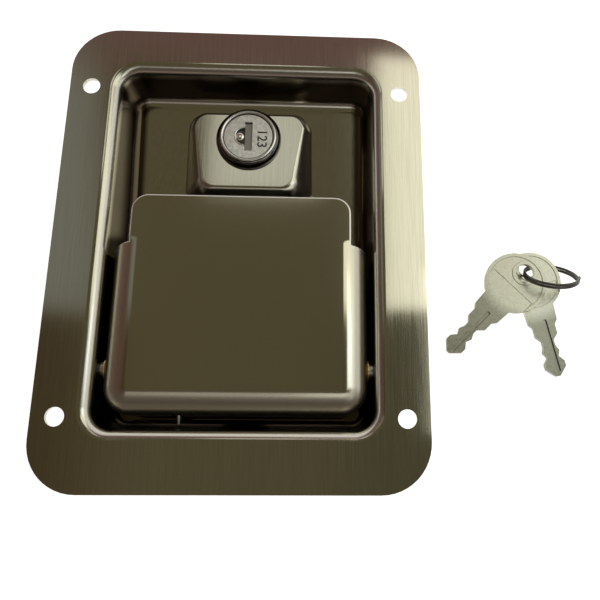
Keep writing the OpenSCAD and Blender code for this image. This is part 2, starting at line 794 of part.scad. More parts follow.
module lock_clip() {
    inner = clip_flat - clip_bite + seat_gap;
    color("#8c8a80") translate([0, lock_y, boss_rear - clip_sheet - seat_gap]) linear_extrude(clip_sheet)
        difference() {
            translate([-clip_reach, -barrel_d / 2 - clip_bridge])
                square([2 * clip_reach, barrel_d / 2 + clip_bridge + clip_tail]);
            translate([-inner, -barrel_d / 2 + clip_throat]) square([2 * inner, barrel_d + clip_bridge]);
            intersection() {
                circle(d = barrel_d + 2 * seat_gap);
                square([2 * inner, 2 * barrel_d], center = true);
            }
        }
}

module lock_cam() {
    color("#a5a294") translate([0, lock_y, cam_z]) linear_extrude(cam_t) difference() {
        union() {
            circle(d = cam_hub_d);
            translate([0, -cam_w / 2]) square([cam_l, cam_w]);
        }
        square(post + 2 * run_gap, center = true);
    }
}

module cam_washer() {
    color("#8c8a80") translate([0, lock_y, cam_z - washer_t]) difference() {
        cylinder(d = cam_hub_d - 3, h = washer_t);
        translate([0, 0, -cut]) cylinder(d = screw_d + 2 * seat_gap, h = washer_t + 2 * cut);
    }
}

module cam_screw() {
    head_z = cam_z - washer_t - screw_head_t;
    color("#b9b6ab") translate([0, lock_y, head_z]) difference() {
        union() {
            cylinder(d1 = screw_head_d - screw_head_taper, d2 = screw_head_d, h = screw_head_t);
            cylinder(d = screw_d, h = screw_head_t + washer_t + cam_t - seat_gap);
        }
        for (turn = [0, 90]) rotate(turn) translate([-screw_slot_l / 2, -screw_slot_w / 2, -cut])
            cube([screw_slot_l, screw_slot_w, cut + screw_slot_depth]);
    }
}

// Two turns of wire lying against each other
module key_ring() {
    steps = 30;
    turns = 1.95;
    pitch = ring_wire + 0.1;
    color("#3c3a34") translate([ring_at.x, ring_at.y, ring_z]) rotate([-ring_tilt, 0, 0])
        wire([for (i = [0:floor(steps * turns)])
            [ring_r * cos(360 * i / steps), ring_r * sin(360 * i / steps), (i / steps - turns / 2) * pitch]],
            ring_wire / 2, [0, 0, 1]);
}

// Outline of the blade beyond the bow, from the neck to the pointed tip, with cuts along both edges
module blade_outline() {
    half = blade_w / 2;
    top = -neck_y + neck_lap;
    shoulder = -neck_y - neck_l;
    last = len(left_bits) - 1;
    function bit_y(k) = -key_l + tip_l + k * bit_pitch;
    polygon(concat(
        [[-neck_w / 2, top], [-neck_w / 2 + neck_in, shoulder], [-half, shoulder - key_shoulder]],
        [for (k = [last:-1:0]) [-half + left_bits[k], bit_y(k)]],
        [[-tip_flat, -key_l], [tip_flat, -key_l]],
        [for (k = [0:last]) [half - right_bits[k], bit_y(k)]],
        [[half, shoulder - key_shoulder], [neck_w / 2 - neck_in, shoulder], [neck_w / 2, top]]));
}

// A key lying flat, its ring hole at the origin and its blade along -Y
module key_blank() {
    groove_l = key_l - hole_offset - bow_d / 2 - groove_root;
    difference() {
        translate([0, 0, -key_t / 2]) linear_extrude(key_t) difference() {
            union() {
                translate([0, -hole_offset]) circle(d = bow_d);
                blade_outline();
            }
            circle(d = key_hole_d);
        }
        for (side = [0, 1]) mirror([0, 0, side]) {
            translate([0, -hole_offset, key_t / 2 - bow_sunk]) difference() {
                cylinder(d = bow_d - 2 * bow_rim, h = cut);
                translate([0, hole_offset, -cut]) cylinder(d = key_hole_d + 2 * bow_rim, h = 3 * cut);
            }
            translate([-band_l / 2, -hole_offset - band_y - band_w / 2, key_t / 2 - bow_sunk - band_depth])
                cube([band_l, band_w, cut]);
            translate([groove_x - groove_w / 2, -key_l + groove_end, key_t / 2 - groove_depth])
                cube([groove_w, groove_l, cut]);
        }
    }
}

module key_left() {
    color("#cfcbb0") translate(ring_point(key_left_phi)) rotate(key_left_turn) rotate([key_left_tilt, 0, 0])
        key_blank();
}

module key_right() {
    color("#cfcbb0") translate(ring_point(key_right_phi) + key_right_side) rotate(key_right_turn) rotate([key_right_tilt, 0, 0])
        key_blank();
}

pan();
paddle();
pivot_bushes();
pivot_pin();
pin_clip();
trip_lever();
paddle_spring();
bolt_housing();
housing_rivets();
latch_bolt();
bolt_spring();
spring_guide();
bolt_stop_pin();
lock_housing();
lock_plug();
lock_wafers();
lock_clip();
lock_cam();
cam_washer();
cam_screw();
key_ring();
key_left();
key_right();
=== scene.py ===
"""Looks of a flush slam paddle latch with its keys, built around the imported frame.

Lengths in the classes are millimetres in the part's own frame and become metres when a piece is made.
"""

import logging
import math
from dataclasses import dataclass, field
from enum import Enum
from functools import partial
from typing import Callable, Mapping, Optional, Sequence

import bmesh
import bpy
from mathutils import Matrix, Vector


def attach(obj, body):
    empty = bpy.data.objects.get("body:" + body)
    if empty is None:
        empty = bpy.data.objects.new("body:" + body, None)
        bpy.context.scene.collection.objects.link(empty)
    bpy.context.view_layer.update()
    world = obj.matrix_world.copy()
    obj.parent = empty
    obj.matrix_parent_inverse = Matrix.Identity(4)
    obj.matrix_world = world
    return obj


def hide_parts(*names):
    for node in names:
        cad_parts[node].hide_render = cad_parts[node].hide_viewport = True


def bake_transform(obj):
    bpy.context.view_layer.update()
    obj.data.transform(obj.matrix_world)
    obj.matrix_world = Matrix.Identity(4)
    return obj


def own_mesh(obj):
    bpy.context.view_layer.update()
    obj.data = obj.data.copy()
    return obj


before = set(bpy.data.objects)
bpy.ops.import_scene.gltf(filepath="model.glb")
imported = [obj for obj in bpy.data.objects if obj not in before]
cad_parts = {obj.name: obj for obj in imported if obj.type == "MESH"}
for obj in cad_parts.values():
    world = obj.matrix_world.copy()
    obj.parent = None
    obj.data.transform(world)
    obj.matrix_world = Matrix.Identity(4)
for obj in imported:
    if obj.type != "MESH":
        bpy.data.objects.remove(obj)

Tree = bpy.types.NodeTree
Socket = bpy.types.NodeSocket
Piece = bpy.types.Object
Mesh = bmesh.types.BMesh
Edges = list[bmesh.types.BMEdge]
Pair = tuple[float, float]
Triple = tuple[float, float, float]

LOG = logging.getLogger("latch")
MM = 0.001
SLACK = 1e-4
SLICE_SLACK = 1e-5
WIRE_SIDES = 12
VECTOR = "ShaderNodeVectorMath"
LINE_RANGE = (0.3, 0.7)
BLOTCH_SHARE = 0.5
BLACK = (0.0, 0.0, 0.0)
WHITE = (1.0, 1.0, 1.0)


class Body(str, Enum):
    """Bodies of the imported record."""

    FRAME = "latch_frame"
    HANDLE = "handle"
    PLUG = "plug"
    KEY_SET = "key_set"


class Slot(str, Enum):
    """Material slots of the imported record."""

    PAN = "pan_steel"
    PADDLE = "paddle_steel"
    ZINC = "zinc_steel"
    SPRING = "spring_steel"
    BRASS = "bush_brass"
    CHROME = "lock_chrome"
    PLUG = "plug_zinc"
    KEY = "key_nickel"
    RING = "ring_steel"


class Grain(Enum):
    """Kinds of surface texture a metal finish can carry."""

    NONE = 0
    BRUSHED = 1
    MOTTLED = 2


# Shader helpers


def add_node(tree: Tree, kind: str, **inputs: object) -> bpy.types.Node:
    """Adds a shader node and sets its input sockets.

    Args:
        tree: the node tree.
        kind: the node's type name.
        inputs: default values by socket name, spaces written as underscores.

    Returns:
        The new node.
    """
    node = tree.nodes.new(kind)
    for name, value in inputs.items():
        node.inputs[name.replace("_", " ")].default_value = value
    return node


def feed(tree: Tree, source: object, target: Socket) -> None:
    """Links an output to an input, or sets the input to a plain value.

    Args:
        tree: the node tree.
        source: an output socket or a value.
        target: the input socket.
    """
    if isinstance(source, Socket):
        tree.links.new(source, target)
    else:
        target.default_value = source


def calc(
    tree: Tree, operation: str, *values: object, kind: str = "ShaderNodeMath", result: str = "Value"
) -> Socket:
    """Adds a node that works something out.

    Args:
        tree: the node tree.
        operation: what it does.
        values: sockets or plain values, in order.
        kind: the node's type name.
        result: the output that is wanted.

    Returns:
        That output.
    """
    node = tree.nodes.new(kind)
    node.operation = operation
    for value, target in zip(values, node.inputs):
        feed(tree, value, target)
    return node.outputs[result]


def fade(tree: Tree, value: Socket, start: float, end: float, low: float = 0.0, high: float = 1.0) -> Socket:
    """Maps one range of a value to another and stops at its ends.

    Args:
        tree: the node tree.
        value: the value.
        start: where its range starts.
        end: where its range ends.
        low: the result at the start.
        high: the result at the end.

    Returns:
        The result.
    """
    node = add_node(tree, "ShaderNodeMapRange", From_Min=start, From_Max=end, To_Min=low, To_Max=high)
    tree.links.new(value, node.inputs["Value"])
    return node.outputs["Result"]


def mix_colour(tree: Tree, share: Socket, first: Socket, second: object, kind: str = "MIX") -> Socket:
    """Mixes two colours.

    Args:
        tree: the node tree.
        share: how much the second counts, from 0 to 1.
        first: the first colour.
        second: the second colour, a socket or a value.
        kind: the way of mixing.

    Returns:
        The mixed colour.
    """
    node = tree.nodes.new("ShaderNodeMix")
    node.data_type = "RGBA"
    node.blend_type = kind
    for source, index in ((share, 0), (first, 6), (second, 7)):
        feed(tree, source, node.inputs[index])
    return node.outputs[2]


def axes(tree: Tree, vector: Socket) -> Mapping[str, Socket]:
    """Splits a vector.

    Args:
        tree: the node tree.
        vector: the vector.

    Returns:
        Its X, Y and Z.
    """
    node = tree.nodes.new("ShaderNodeSeparateXYZ")
    tree.links.new(vector, node.inputs["Vector"])
    return node.outputs


def grain_group() -> Tree:
    """Makes the shared group of brush lines and soft blotches.

    Returns:
        A group with a Lines value, a Blotch value and a Normal.
    """
    name = "metal_grain"
    if name in bpy.data.node_groups:
        return bpy.data.node_groups[name]
    group = bpy.data.node_groups.new(name, "ShaderNodeTree")
    for socket in ("Across", "Along", "Bump"):
        group.interface.new_socket(socket, in_out="INPUT", socket_type="NodeSocketFloat")
    group.interface.new_socket("Lines", in_out="OUTPUT", socket_type="NodeSocketFloat")
    group.interface.new_socket("Blotch", in_out="OUTPUT", socket_type="NodeSocketFloat")
    group.interface.new_socket("Normal", in_out="OUTPUT", socket_type="NodeSocketVector")
    source = group.nodes.new("NodeGroupInput")
    sink = group.nodes.new("NodeGroupOutput")
    coords = group.nodes.new("ShaderNodeTexCoord")
    scale = group.nodes.new("ShaderNodeCombineXYZ")
    stretch = group.nodes.new("ShaderNodeVectorMath")
    stretch.operation = "MULTIPLY"
    lines = add_node(group, "ShaderNodeTexNoise", Scale=1.0, Detail=3.0, Roughness=0.6)
    blotch = add_node(group, "ShaderNodeTexNoise", Scale=38.0, Detail=2.0, Roughness=0.5)
    bump = add_node(group, "ShaderNodeBump", Distance=0.00004)
    link = group.links.new
    link(source.outputs["Across"], scale.inputs["X"])
    link(source.outputs["Along"], scale.inputs["Y"])
    link(source.outputs["Across"], scale.inputs["Z"])
    link(coords.outputs["Object"], stretch.inputs[0])
    link(scale.outputs["Vector"], stretch.inputs[1])
    link(stretch.outputs["Vector"], lines.inputs["Vector"])
    link(coords.outputs["Object"], blotch.inputs["Vector"])
    link(source.outputs["Bump"], bump.inputs["Strength"])
    link(lines.outputs["Fac"], bump.inputs["Height"])
    link(lines.outputs["Fac"], sink.inputs["Lines"])
    link(blotch.outputs["Fac"], sink.inputs["Blotch"])
    link(bump.outputs["Normal"], sink.inputs["Normal"])
    return group


@dataclass(frozen=True)
class Finish:
    """A metal finish."""

    name: str
    base: Triple
    roughness: float
    grain: Grain = Grain.NONE
    across: float = 4200.0
    along: float = 60.0
    bump: float = 0.25
    spread: float = 0.10
    metallic: float = 1.0
    streak: float = 0.0
    stretch: float = 0.0
    shade: Optional[Callable[[Tree, Socket], Socket]] = None
    blur: Optional[Callable[[Tree, Socket], Socket]] = None

    def material(self) -> bpy.types.Material:
        """Makes the finish's material, once.

        Returns:
            The material.
        """
        if self.name in bpy.data.materials:
            return bpy.data.materials[self.name]
        made = bpy.data.materials.new(self.name)
        made.use_nodes = True
        tree = made.node_tree
        shader = tree.nodes["Principled BSDF"]
        shader.inputs["Base Color"].default_value = (*self.base, 1.0)
        shader.inputs["Metallic"].default_value = self.metallic
        shader.inputs["Roughness"].default_value = self.roughness
        made.diffuse_color = (*self.base, 1.0)
        if self.grain is Grain.NONE:
            return made
        grain = tree.nodes.new("ShaderNodeGroup")
        grain.node_tree = grain_group()
        grain.inputs["Across"].default_value = self.across
        grain.inputs["Along"].default_value = self.along if self.grain is Grain.BRUSHED else self.across
        grain.inputs["Bump"].default_value = self.bump
        lines = grain.outputs["Lines"]
        rough = fade(tree, lines, *LINE_RANGE, self.roughness - self.spread, self.roughness + self.spread)
        rough = calc(tree, "MULTIPLY_ADD", grain.outputs["Blotch"], self.spread * BLOTCH_SHARE, rough)
        if self.blur is not None:
            rough = self.blur(tree, rough)
        tree.links.new(rough, shader.inputs["Roughness"])
        tree.links.new(grain.outputs["Normal"], shader.inputs["Normal"])
        colour = add_node(tree, "ShaderNodeHueSaturation", Color=(*self.base, 1.0))
        value = fade(tree, lines, *LINE_RANGE, 1.0 - self.streak, 1.0 + self.streak)
        tree.links.new(value, colour.inputs["Value"])
        base = colour.outputs["Color"]
        if self.shade is not None:
            base = self.shade(tree, base)
        tree.links.new(base, shader.inputs["Base Color"])
        if self.stretch > 0.0:
            shader.inputs["Anisotropic"].default_value = self.stretch
            sideways = add_node(tree, "ShaderNodeCombineXYZ", X=1.0)
            tree.links.new(sideways.outputs["Vector"], shader.inputs["Tangent"])
        return made


def paint_recess_shade(tree: Tree, colour: Socket) -> Socket:
    """Darkens the steep walls of the pan and the floor under the paddle's edge with painted shade deep in the
    recess.

    Args:
        tree: the material's nodes.
        colour: the colour of the polished steel.

    Returns:
        The colour with the painted shade.
    """
    rim_depth = (-1.0 * MM, -3.5 * MM)
    wall_slope = (0.55, 0.20)
    floor_side = (33.5 * MM, 35.0 * MM)
    paddle_edge = (4.0 * MM, -4.0 * MM)
    above_pan = (0.0, 20.0 * MM, 50.0 * MM)
    front_face = (0.0, 4.0 * MM)
    # colour multiplied in as painted shade on the recess's walls and low floor
    tint = (0.15, 0.12, 0.095, 1.0)
    coords = tree.nodes.new("ShaderNodeTexCoord").outputs
    place = axes(tree, coords["Object"])
    steep = fade(tree, axes(tree, coords["Normal"])["Z"], *wall_slope)
    foot = fade(tree, calc(tree, "ABSOLUTE", place["X"]), *floor_side)
    under = fade(tree, place["Y"], *paddle_edge)
    shade_zone = calc(tree, "MAXIMUM", calc(tree, "MAXIMUM", steep, foot), under)
    upward = calc(tree, "SUBTRACT", above_pan, coords["Object"], kind=VECTOR, result="Vector")
    front = fade(tree, calc(tree, "DOT_PRODUCT", upward, coords["Normal"], kind=VECTOR), *front_face)
    deep = calc(tree, "MULTIPLY", fade(tree, place["Z"], *rim_depth), front)
    return mix_colour(tree, calc(tree, "MULTIPLY", shade_zone, deep), colour, tint, "MULTIPLY")


def roughen_drawn(
    tree: Tree, rough: Socket, flat: float = 0.985, steep: float = 0.90, most: float = 0.14
) -> Socket:
    """Roughens the curved metal, which drawing has stretched, but not the flat faces.

    Args:
        tree: the material's nodes.
        rough: the roughness of the flat sheet.
        flat: the Z of the normal where the roughening starts.
        steep: the Z of the normal where it is complete.
        most: the roughness it adds there.

    Returns:
        The roughness with the curved metal's added.
    """
    normal = axes(tree, tree.nodes.new("ShaderNodeTexCoord").outputs["Normal"])
    return calc(tree, "ADD", fade(tree, normal["Z"], flat, steep, 0.0, most), rough)


def shade_blades(tree: Tree, colour: Socket) -> Socket:
    """Darkens the keys' blades beyond their bows.

    Args:
        tree: the material's nodes.
        colour: the colour of the bows.

    Returns:
        The darkened colour.
    """
    bow_middle = (94.0 * MM, 1.0 * MM, -27.0 * MM)
    bow_edge = (14.0 * MM, 18.5 * MM)
    tint = (0.52, 0.52, 0.50, 1.0)
    place = tree.nodes.new("ShaderNodeTexCoord").outputs["Object"]
    reach = calc(tree, "DISTANCE", place, bow_middle, kind=VECTOR)
    return mix_colour(tree, fade(tree, reach, *bow_edge), colour, tint, "MULTIPLY")


PAN_FINISH = Finish(
    "brushed_steel",
    (0.60, 0.58, 0.50),
    0.095,
    Grain.BRUSHED,
    across=5200.0,
    bump=0.06,
    spread=0.02,
    streak=0.10,
    stretch=0.4,
    # the pan's colour carries painted shade in its recess
    shade=paint_recess_shade,
    blur=roughen_drawn,
)
# bright finish of the paddle's bevelled edges: a painted highlight that makes them read as thin bright lines
EDGE_HIGHLIGHT_FINISH = Finish("painted_edge_highlight", (0.95, 0.93, 0.86), 0.42)
PADDLE_FINISH = Finish(
    "satin_steel",
    (0.60, 0.57, 0.47),
    0.11,
    Grain.BRUSHED,
    across=5200.0,
    bump=0.015,
    spread=0.01,
    blur=partial(roughen_drawn, flat=0.996, steep=0.94, most=0.2),
)
ZINC_FINISH = Finish("zinc_plate", (0.56, 0.57, 0.57), 0.38, Grain.MOTTLED, across=700.0, bump=0.1)
SPRING_FINISH = Finish("spring_wire", (0.50, 0.49, 0.46), 0.30)
BRASS_FINISH = Finish("brass", (0.72, 0.52, 0.22), 0.28)
# the lock's chrome is near black: painted dark reflection of a dim room, in place of bright chrome mirroring
# it
CHROME_FINISH = Finish("chrome_with_painted_dark_reflection", (0.13, 0.13, 0.125), 0.05)
BEAD_FINISH = Finish("bright_chrome", (0.80, 0.80, 0.77), 0.12)
WAFER_FINISH = Finish("dull_wafer", (0.42, 0.42, 0.39), 0.5)
PLUG_FINISH = Finish(
    "cast_zinc", (0.76, 0.76, 0.73), 0.22, Grain.MOTTLED, across=900.0, bump=0.10, spread=0.05
)
KEY_FINISH = Finish(
    "nickel_silver",
    (0.60, 0.60, 0.50),
    0.36,
    Grain.MOTTLED,
    across=900.0,
    bump=1.0,
    streak=0.22,
    shade=shade_blades,
)
RING_FINISH = Finish("dark_ring", (0.09, 0.085, 0.075), 0.34)
GUARD_FINISH = Finish("bright_guard", (0.95, 0.94, 0.90), 0.15)
# dark matt finish: the number's filled print, and painted shade on the plate in the keyway's dip
MARK_AND_SHADE_FINISH = Finish("filled_mark_and_painted_shade", (0.06, 0.06, 0.05), 0.6, metallic=0.0)

SLOT_FINISH: dict[Slot, Finish] = {
    Slot.PAN: PAN_FINISH,
    Slot.PADDLE: PADDLE_FINISH,
    Slot.ZINC: ZINC_FINISH,
    Slot.SPRING: SPRING_FINISH,
    Slot.BRASS: BRASS_FINISH,
    Slot.CHROME: CHROME_FINISH,
    Slot.PLUG: PLUG_FINISH,
    Slot.KEY: KEY_FINISH,
    Slot.RING: RING_FINISH,
}


# Mesh helpers


def new_verts(result: dict) -> list[bmesh.types.BMVert]:
    """Picks the vertices out of an operator's result.

    Args:
        result: what the operator gave back.

    Returns:
        Its vertices.
    """
    return [item for item in result["geom"] if isinstance(item, bmesh.types.BMVert)]


def inner_edges(verts: Sequence[bmesh.types.BMVert]) -> Edges:
    """Finds the edges whose two ends are both among some vertices.

    Args:
        verts: the vertices.

    Returns:
        The edges.
    """
    chosen = set(verts)
    return [e for e in {e for v in verts for e in v.link_edges} if set(e.verts) <= chosen]


def round_corners(
    bm: Mesh, corners: Sequence[bmesh.types.BMVert], radius: float, segments: int
) -> list[bmesh.types.BMVert]:
    """Rounds corners of a flat outline.

    Args:
        bm: the mesh.
        corners: the corners.
        radius: the radius.
        segments: the steps in each corner.

    Returns:
        The new vertices.
    """
    result = bmesh.ops.bevel(
        bm,
        geom=corners,
        offset=radius,
        offset_type="OFFSET",
        segments=segments,
        profile=0.5,
        affect="VERTICES",
        material=-1,
    )
    return result["verts"]


def round_face(bm: Mesh, box: Triple, z: float, radius: float, segments: int) -> bmesh.types.BMFace:
    """Adds a rectangle with rounded corners.

    Args:
        bm: the mesh.
        box: its half width, low end and high end.
        z: its height.
        radius: the corner radius.
        segments: the steps in each corner.

    Returns:
        The face.
    """
    half, low, high = box
    grid = bmesh.ops.create_grid(bm, x_segments=1, y_segments=1, size=0.5)
    for vert, (x, y) in zip(grid["verts"], ((-half, low), (half, low), (-half, high), (half, high))):
        vert.co = (x, y, z)
    return round_corners(bm, grid["verts"], radius, segments)[0].link_faces[0]


def open_loop(bm: Mesh, face: bmesh.types.BMFace) -> Edges:
    """Takes a face away and keeps its edges.

    Args:
        bm: the mesh.
        face: the face.

    Returns:
        The edges of its outline.
    """
    edges = list(face.edges)
    bmesh.ops.delete(bm, geom=[face], context="FACES_ONLY")
    return edges


def sweep_in(
    bm: Mesh,
    edges: Edges,
    core: Triple,
    steps: Sequence[Pair],
) -> Edges:
    """Extrudes a rounded outline step by step along a section.

    Args:
        bm: the mesh.
        edges: the outline.
        core: half width, low end and high end of the rectangle through the corner centres.
        steps: outward distances from the first outline, and heights.

    Returns:
        The last outline.
    """
    half, low, high = core
    before = 0.0
    for out, z in steps:
        verts = new_verts(bmesh.ops.extrude_edge_only(bm, edges=edges))
        for vert in verts:
            nearest = Vector((max(-half, min(half, vert.co.x)), max(low, min(high, vert.co.y))))
            normal = (vert.co.xy - nearest).normalized()
            vert.co.x += normal.x * (out - before)
            vert.co.y += normal.y * (out - before)
            vert.co.z = z
        edges = inner_edges(verts)
        before = out
    return edges


def arc(centre: Pair, radius: float, start: float, end: float, count: int) -> list[Pair]:
    """Lists points on an arc.

    Args:
        centre: its centre.
        radius: its radius.
        start: the first angle in degrees.
        end: the last angle in degrees.
        count: the number of steps.

    Returns:
        The points after the first one.
    """
    angles = [math.radians(start + (end - start) * k / count) for k in range(1, count + 1)]
    return [(centre[0] + radius * math.cos(a), centre[1] + radius * math.sin(a)) for a in angles]


def slice_mesh(bm: Mesh, at: Triple, normal: Triple, clear: bool = False) -> None:
    """Cuts all faces of a mesh along a plane.

    Args:
        bm: the mesh.
        at: a point of the plane.
        normal: the plane's normal.
        clear: whether what lies on the normal's side is removed.
    """
    geom = list(bm.verts) + list(bm.edges) + list(bm.faces)
    bmesh.ops.bisect_plane(bm, geom=geom, dist=SLICE_SLACK, plane_co=at, plane_no=normal, clear_outer=clear)


def smooth_at(obj: Piece, degrees: float) -> None:
    """Shades a piece smooth, with sharp edges above an angle, and evens its normals.

    Args:
        obj: the piece.
        degrees: the angle.
    """
    obj.data.shade_smooth()
    obj.data.set_sharp_from_angle(angle=math.radians(degrees))
    even = obj.modifiers.new("even_normals", "WEIGHTED_NORMAL")
    even.keep_sharp = True
    even.weight = 80


def make_object(bm: Mesh, name: str) -> Piece:
    """Turns a mesh in millimetres into a piece in metres at the origin.

    Args:
        bm: the mesh, which is freed.
        name: the piece's name.

    Returns:
        The piece.
    """
    bmesh.ops.scale(bm, vec=(MM, MM, MM), verts=bm.verts)
    mesh = bpy.data.meshes.new(name)
    bm.to_mesh(mesh)
    bm.free()
    obj = bpy.data.objects.new(name, mesh)
    bpy.context.scene.collection.objects.link(obj)
    return obj


def press_sheet(bm: Mesh, name: str, thickness: float) -> Piece:
    """Makes a piece of sheet metal behind a front face.

    Args:
        bm: the front, in millimetres, which is freed.
        name: the piece's name.
        thickness: the sheet's thickness in millimetres.

    Returns:
        The piece.
    """
    bmesh.ops.recalc_face_normals(bm, faces=bm.faces)
    flat = max(bm.faces, key=lambda f: f.calc_area())
    if flat.normal.z < 0:
        bmesh.ops.reverse_faces(bm, faces=bm.faces)
    piece = make_object(bm, name)
    thick = piece.modifiers.new("sheet", "SOLIDIFY")
    thick.thickness = thickness * MM
    thick.offset = -1.0
    thick.use_even_offset = True
    return piece


def settle(obj: Piece) -> None:
    """Applies the modifiers of a piece.

    Args:
        obj: the piece.
    """
    graph = bpy.context.evaluated_depsgraph_get()
    mesh = bpy.data.meshes.new_from_object(obj.evaluated_get(graph))
    obj.modifiers.clear()
    old = obj.data
    obj.data = mesh
    mesh.name = obj.name
    bpy.data.meshes.remove(old)


def cut_away(obj: Piece, draw: Callable[[Mesh], None]) -> None:
    """Cuts shapes out of a piece.

    Args:
        obj: the piece, whose modifiers are applied as well.
        draw: adds the shapes, in millimetres, to an empty mesh.
    """
    bm = bmesh.new()
    draw(bm)
    bmesh.ops.recalc_face_normals(bm, faces=bm.faces)
    tool = make_object(bm, obj.name + "_cutter")
    trim = obj.modifiers.new("cut", "BOOLEAN")
    trim.operation = "DIFFERENCE"
    trim.solver = "EXACT"
    trim.object = tool
    settle(obj)
    mesh = tool.data
    bpy.data.objects.remove(tool)
    bpy.data.meshes.remove(mesh)


def add_rod(bm: Mesh, at: Vector, radius: float, length: float, turn: Matrix, segments: int = 48) -> None:
    """Adds a closed cylinder.

    Args:
        bm: the mesh.
        at: its centre.
        radius: its radius.
        length: its length.
        turn: the turn from the Z axis.
        segments: the steps around it.
    """
    bmesh.ops.create_cone(
        bm,
        cap_ends=True,
        segments=segments,
        radius1=radius,
        radius2=radius,
        depth=length,
        matrix=Matrix.Translation(at) @ turn,
    )


def add_box(bm: Mesh, low: Vector, high: Vector) -> None:
    """Adds a closed box.

    Args:
        bm: the mesh.
        low: its low corner.
        high: its high corner.
    """
    size = high - low
    bmesh.ops.create_cube(
        bm, size=1.0, matrix=Matrix.Translation((low + high) / 2) @ Matrix.Diagonal((*size, 1.0))
    )


def spin_wire(
    bm: Mesh, start: Triple, facing: str, radius: float, angle: float, steps: int, climb: float = 0.0
) -> None:
    """Spins a round wire section about the Z axis.

    Args:
        bm: the mesh.
        start: the middle of the section.
        facing: the axis about which the section is turned to face along its way.
        radius: the wire's radius.
        angle: how far it is spun, the other way round if negative.
        steps: the steps on the way.
        climb: how far it moves along the axis.
    """
    closed = math.isclose(angle, math.tau)
    turn = Matrix.Rotation(math.pi / 2, 4, facing)
    place = Matrix.Translation(start) @ turn
    section = bmesh.ops.create_circle(
        bm, cap_ends=not closed, segments=WIRE_SIDES, radius=radius, matrix=place
    )
    verts = list(section["verts"])
    bmesh.ops.spin(
        bm,
        geom=verts + inner_edges(verts) + list({f for v in verts for f in v.link_faces}),
        cent=(0, 0, 0),
        axis=(0, 0, math.copysign(1.0, angle)),
        dvec=(0, 0, climb / steps),
        angle=abs(angle),
        steps=steps,
        use_merge=closed,
        use_duplicate=False,
    )


def sweep_wire(points: Sequence[Vector], radius: float, sides: int = WIRE_SIDES) -> Mesh:
    """Draws a round wire along a line of points.

    Args:
        points: the line.
        radius: the wire's radius.
        sides: the steps around the wire.

    Returns:
        The mesh, closed at both ends.
    """
    bm = bmesh.new()
    before = (points[1] - points[0]).normalized()
    place = Matrix.Translation(points[0]) @ before.to_track_quat("Z", "Y").to_matrix().to_4x4()
    bmesh.ops.create_circle(bm, cap_ends=True, segments=sides, radius=radius, matrix=place)
    end = list(bm.faces)
    for k in range(1, len(points)):
        after = (points[min(k + 1, len(points) - 1)] - points[k - 1]).normalized()
        grown = bmesh.ops.extrude_face_region(bm, geom=end)
        end = [item for item in grown["geom"] if isinstance(item, bmesh.types.BMFace)]
        turn = before.rotation_difference(after).to_matrix().to_4x4()
        step = Matrix.Translation(points[k]) @ turn @ Matrix.Translation(-points[k - 1])
        bmesh.ops.transform(bm, matrix=step, verts=new_verts(grown))
        before = after
    bmesh.ops.recalc_face_normals(bm, faces=bm.faces)
    return bm


# Sub-assemblies


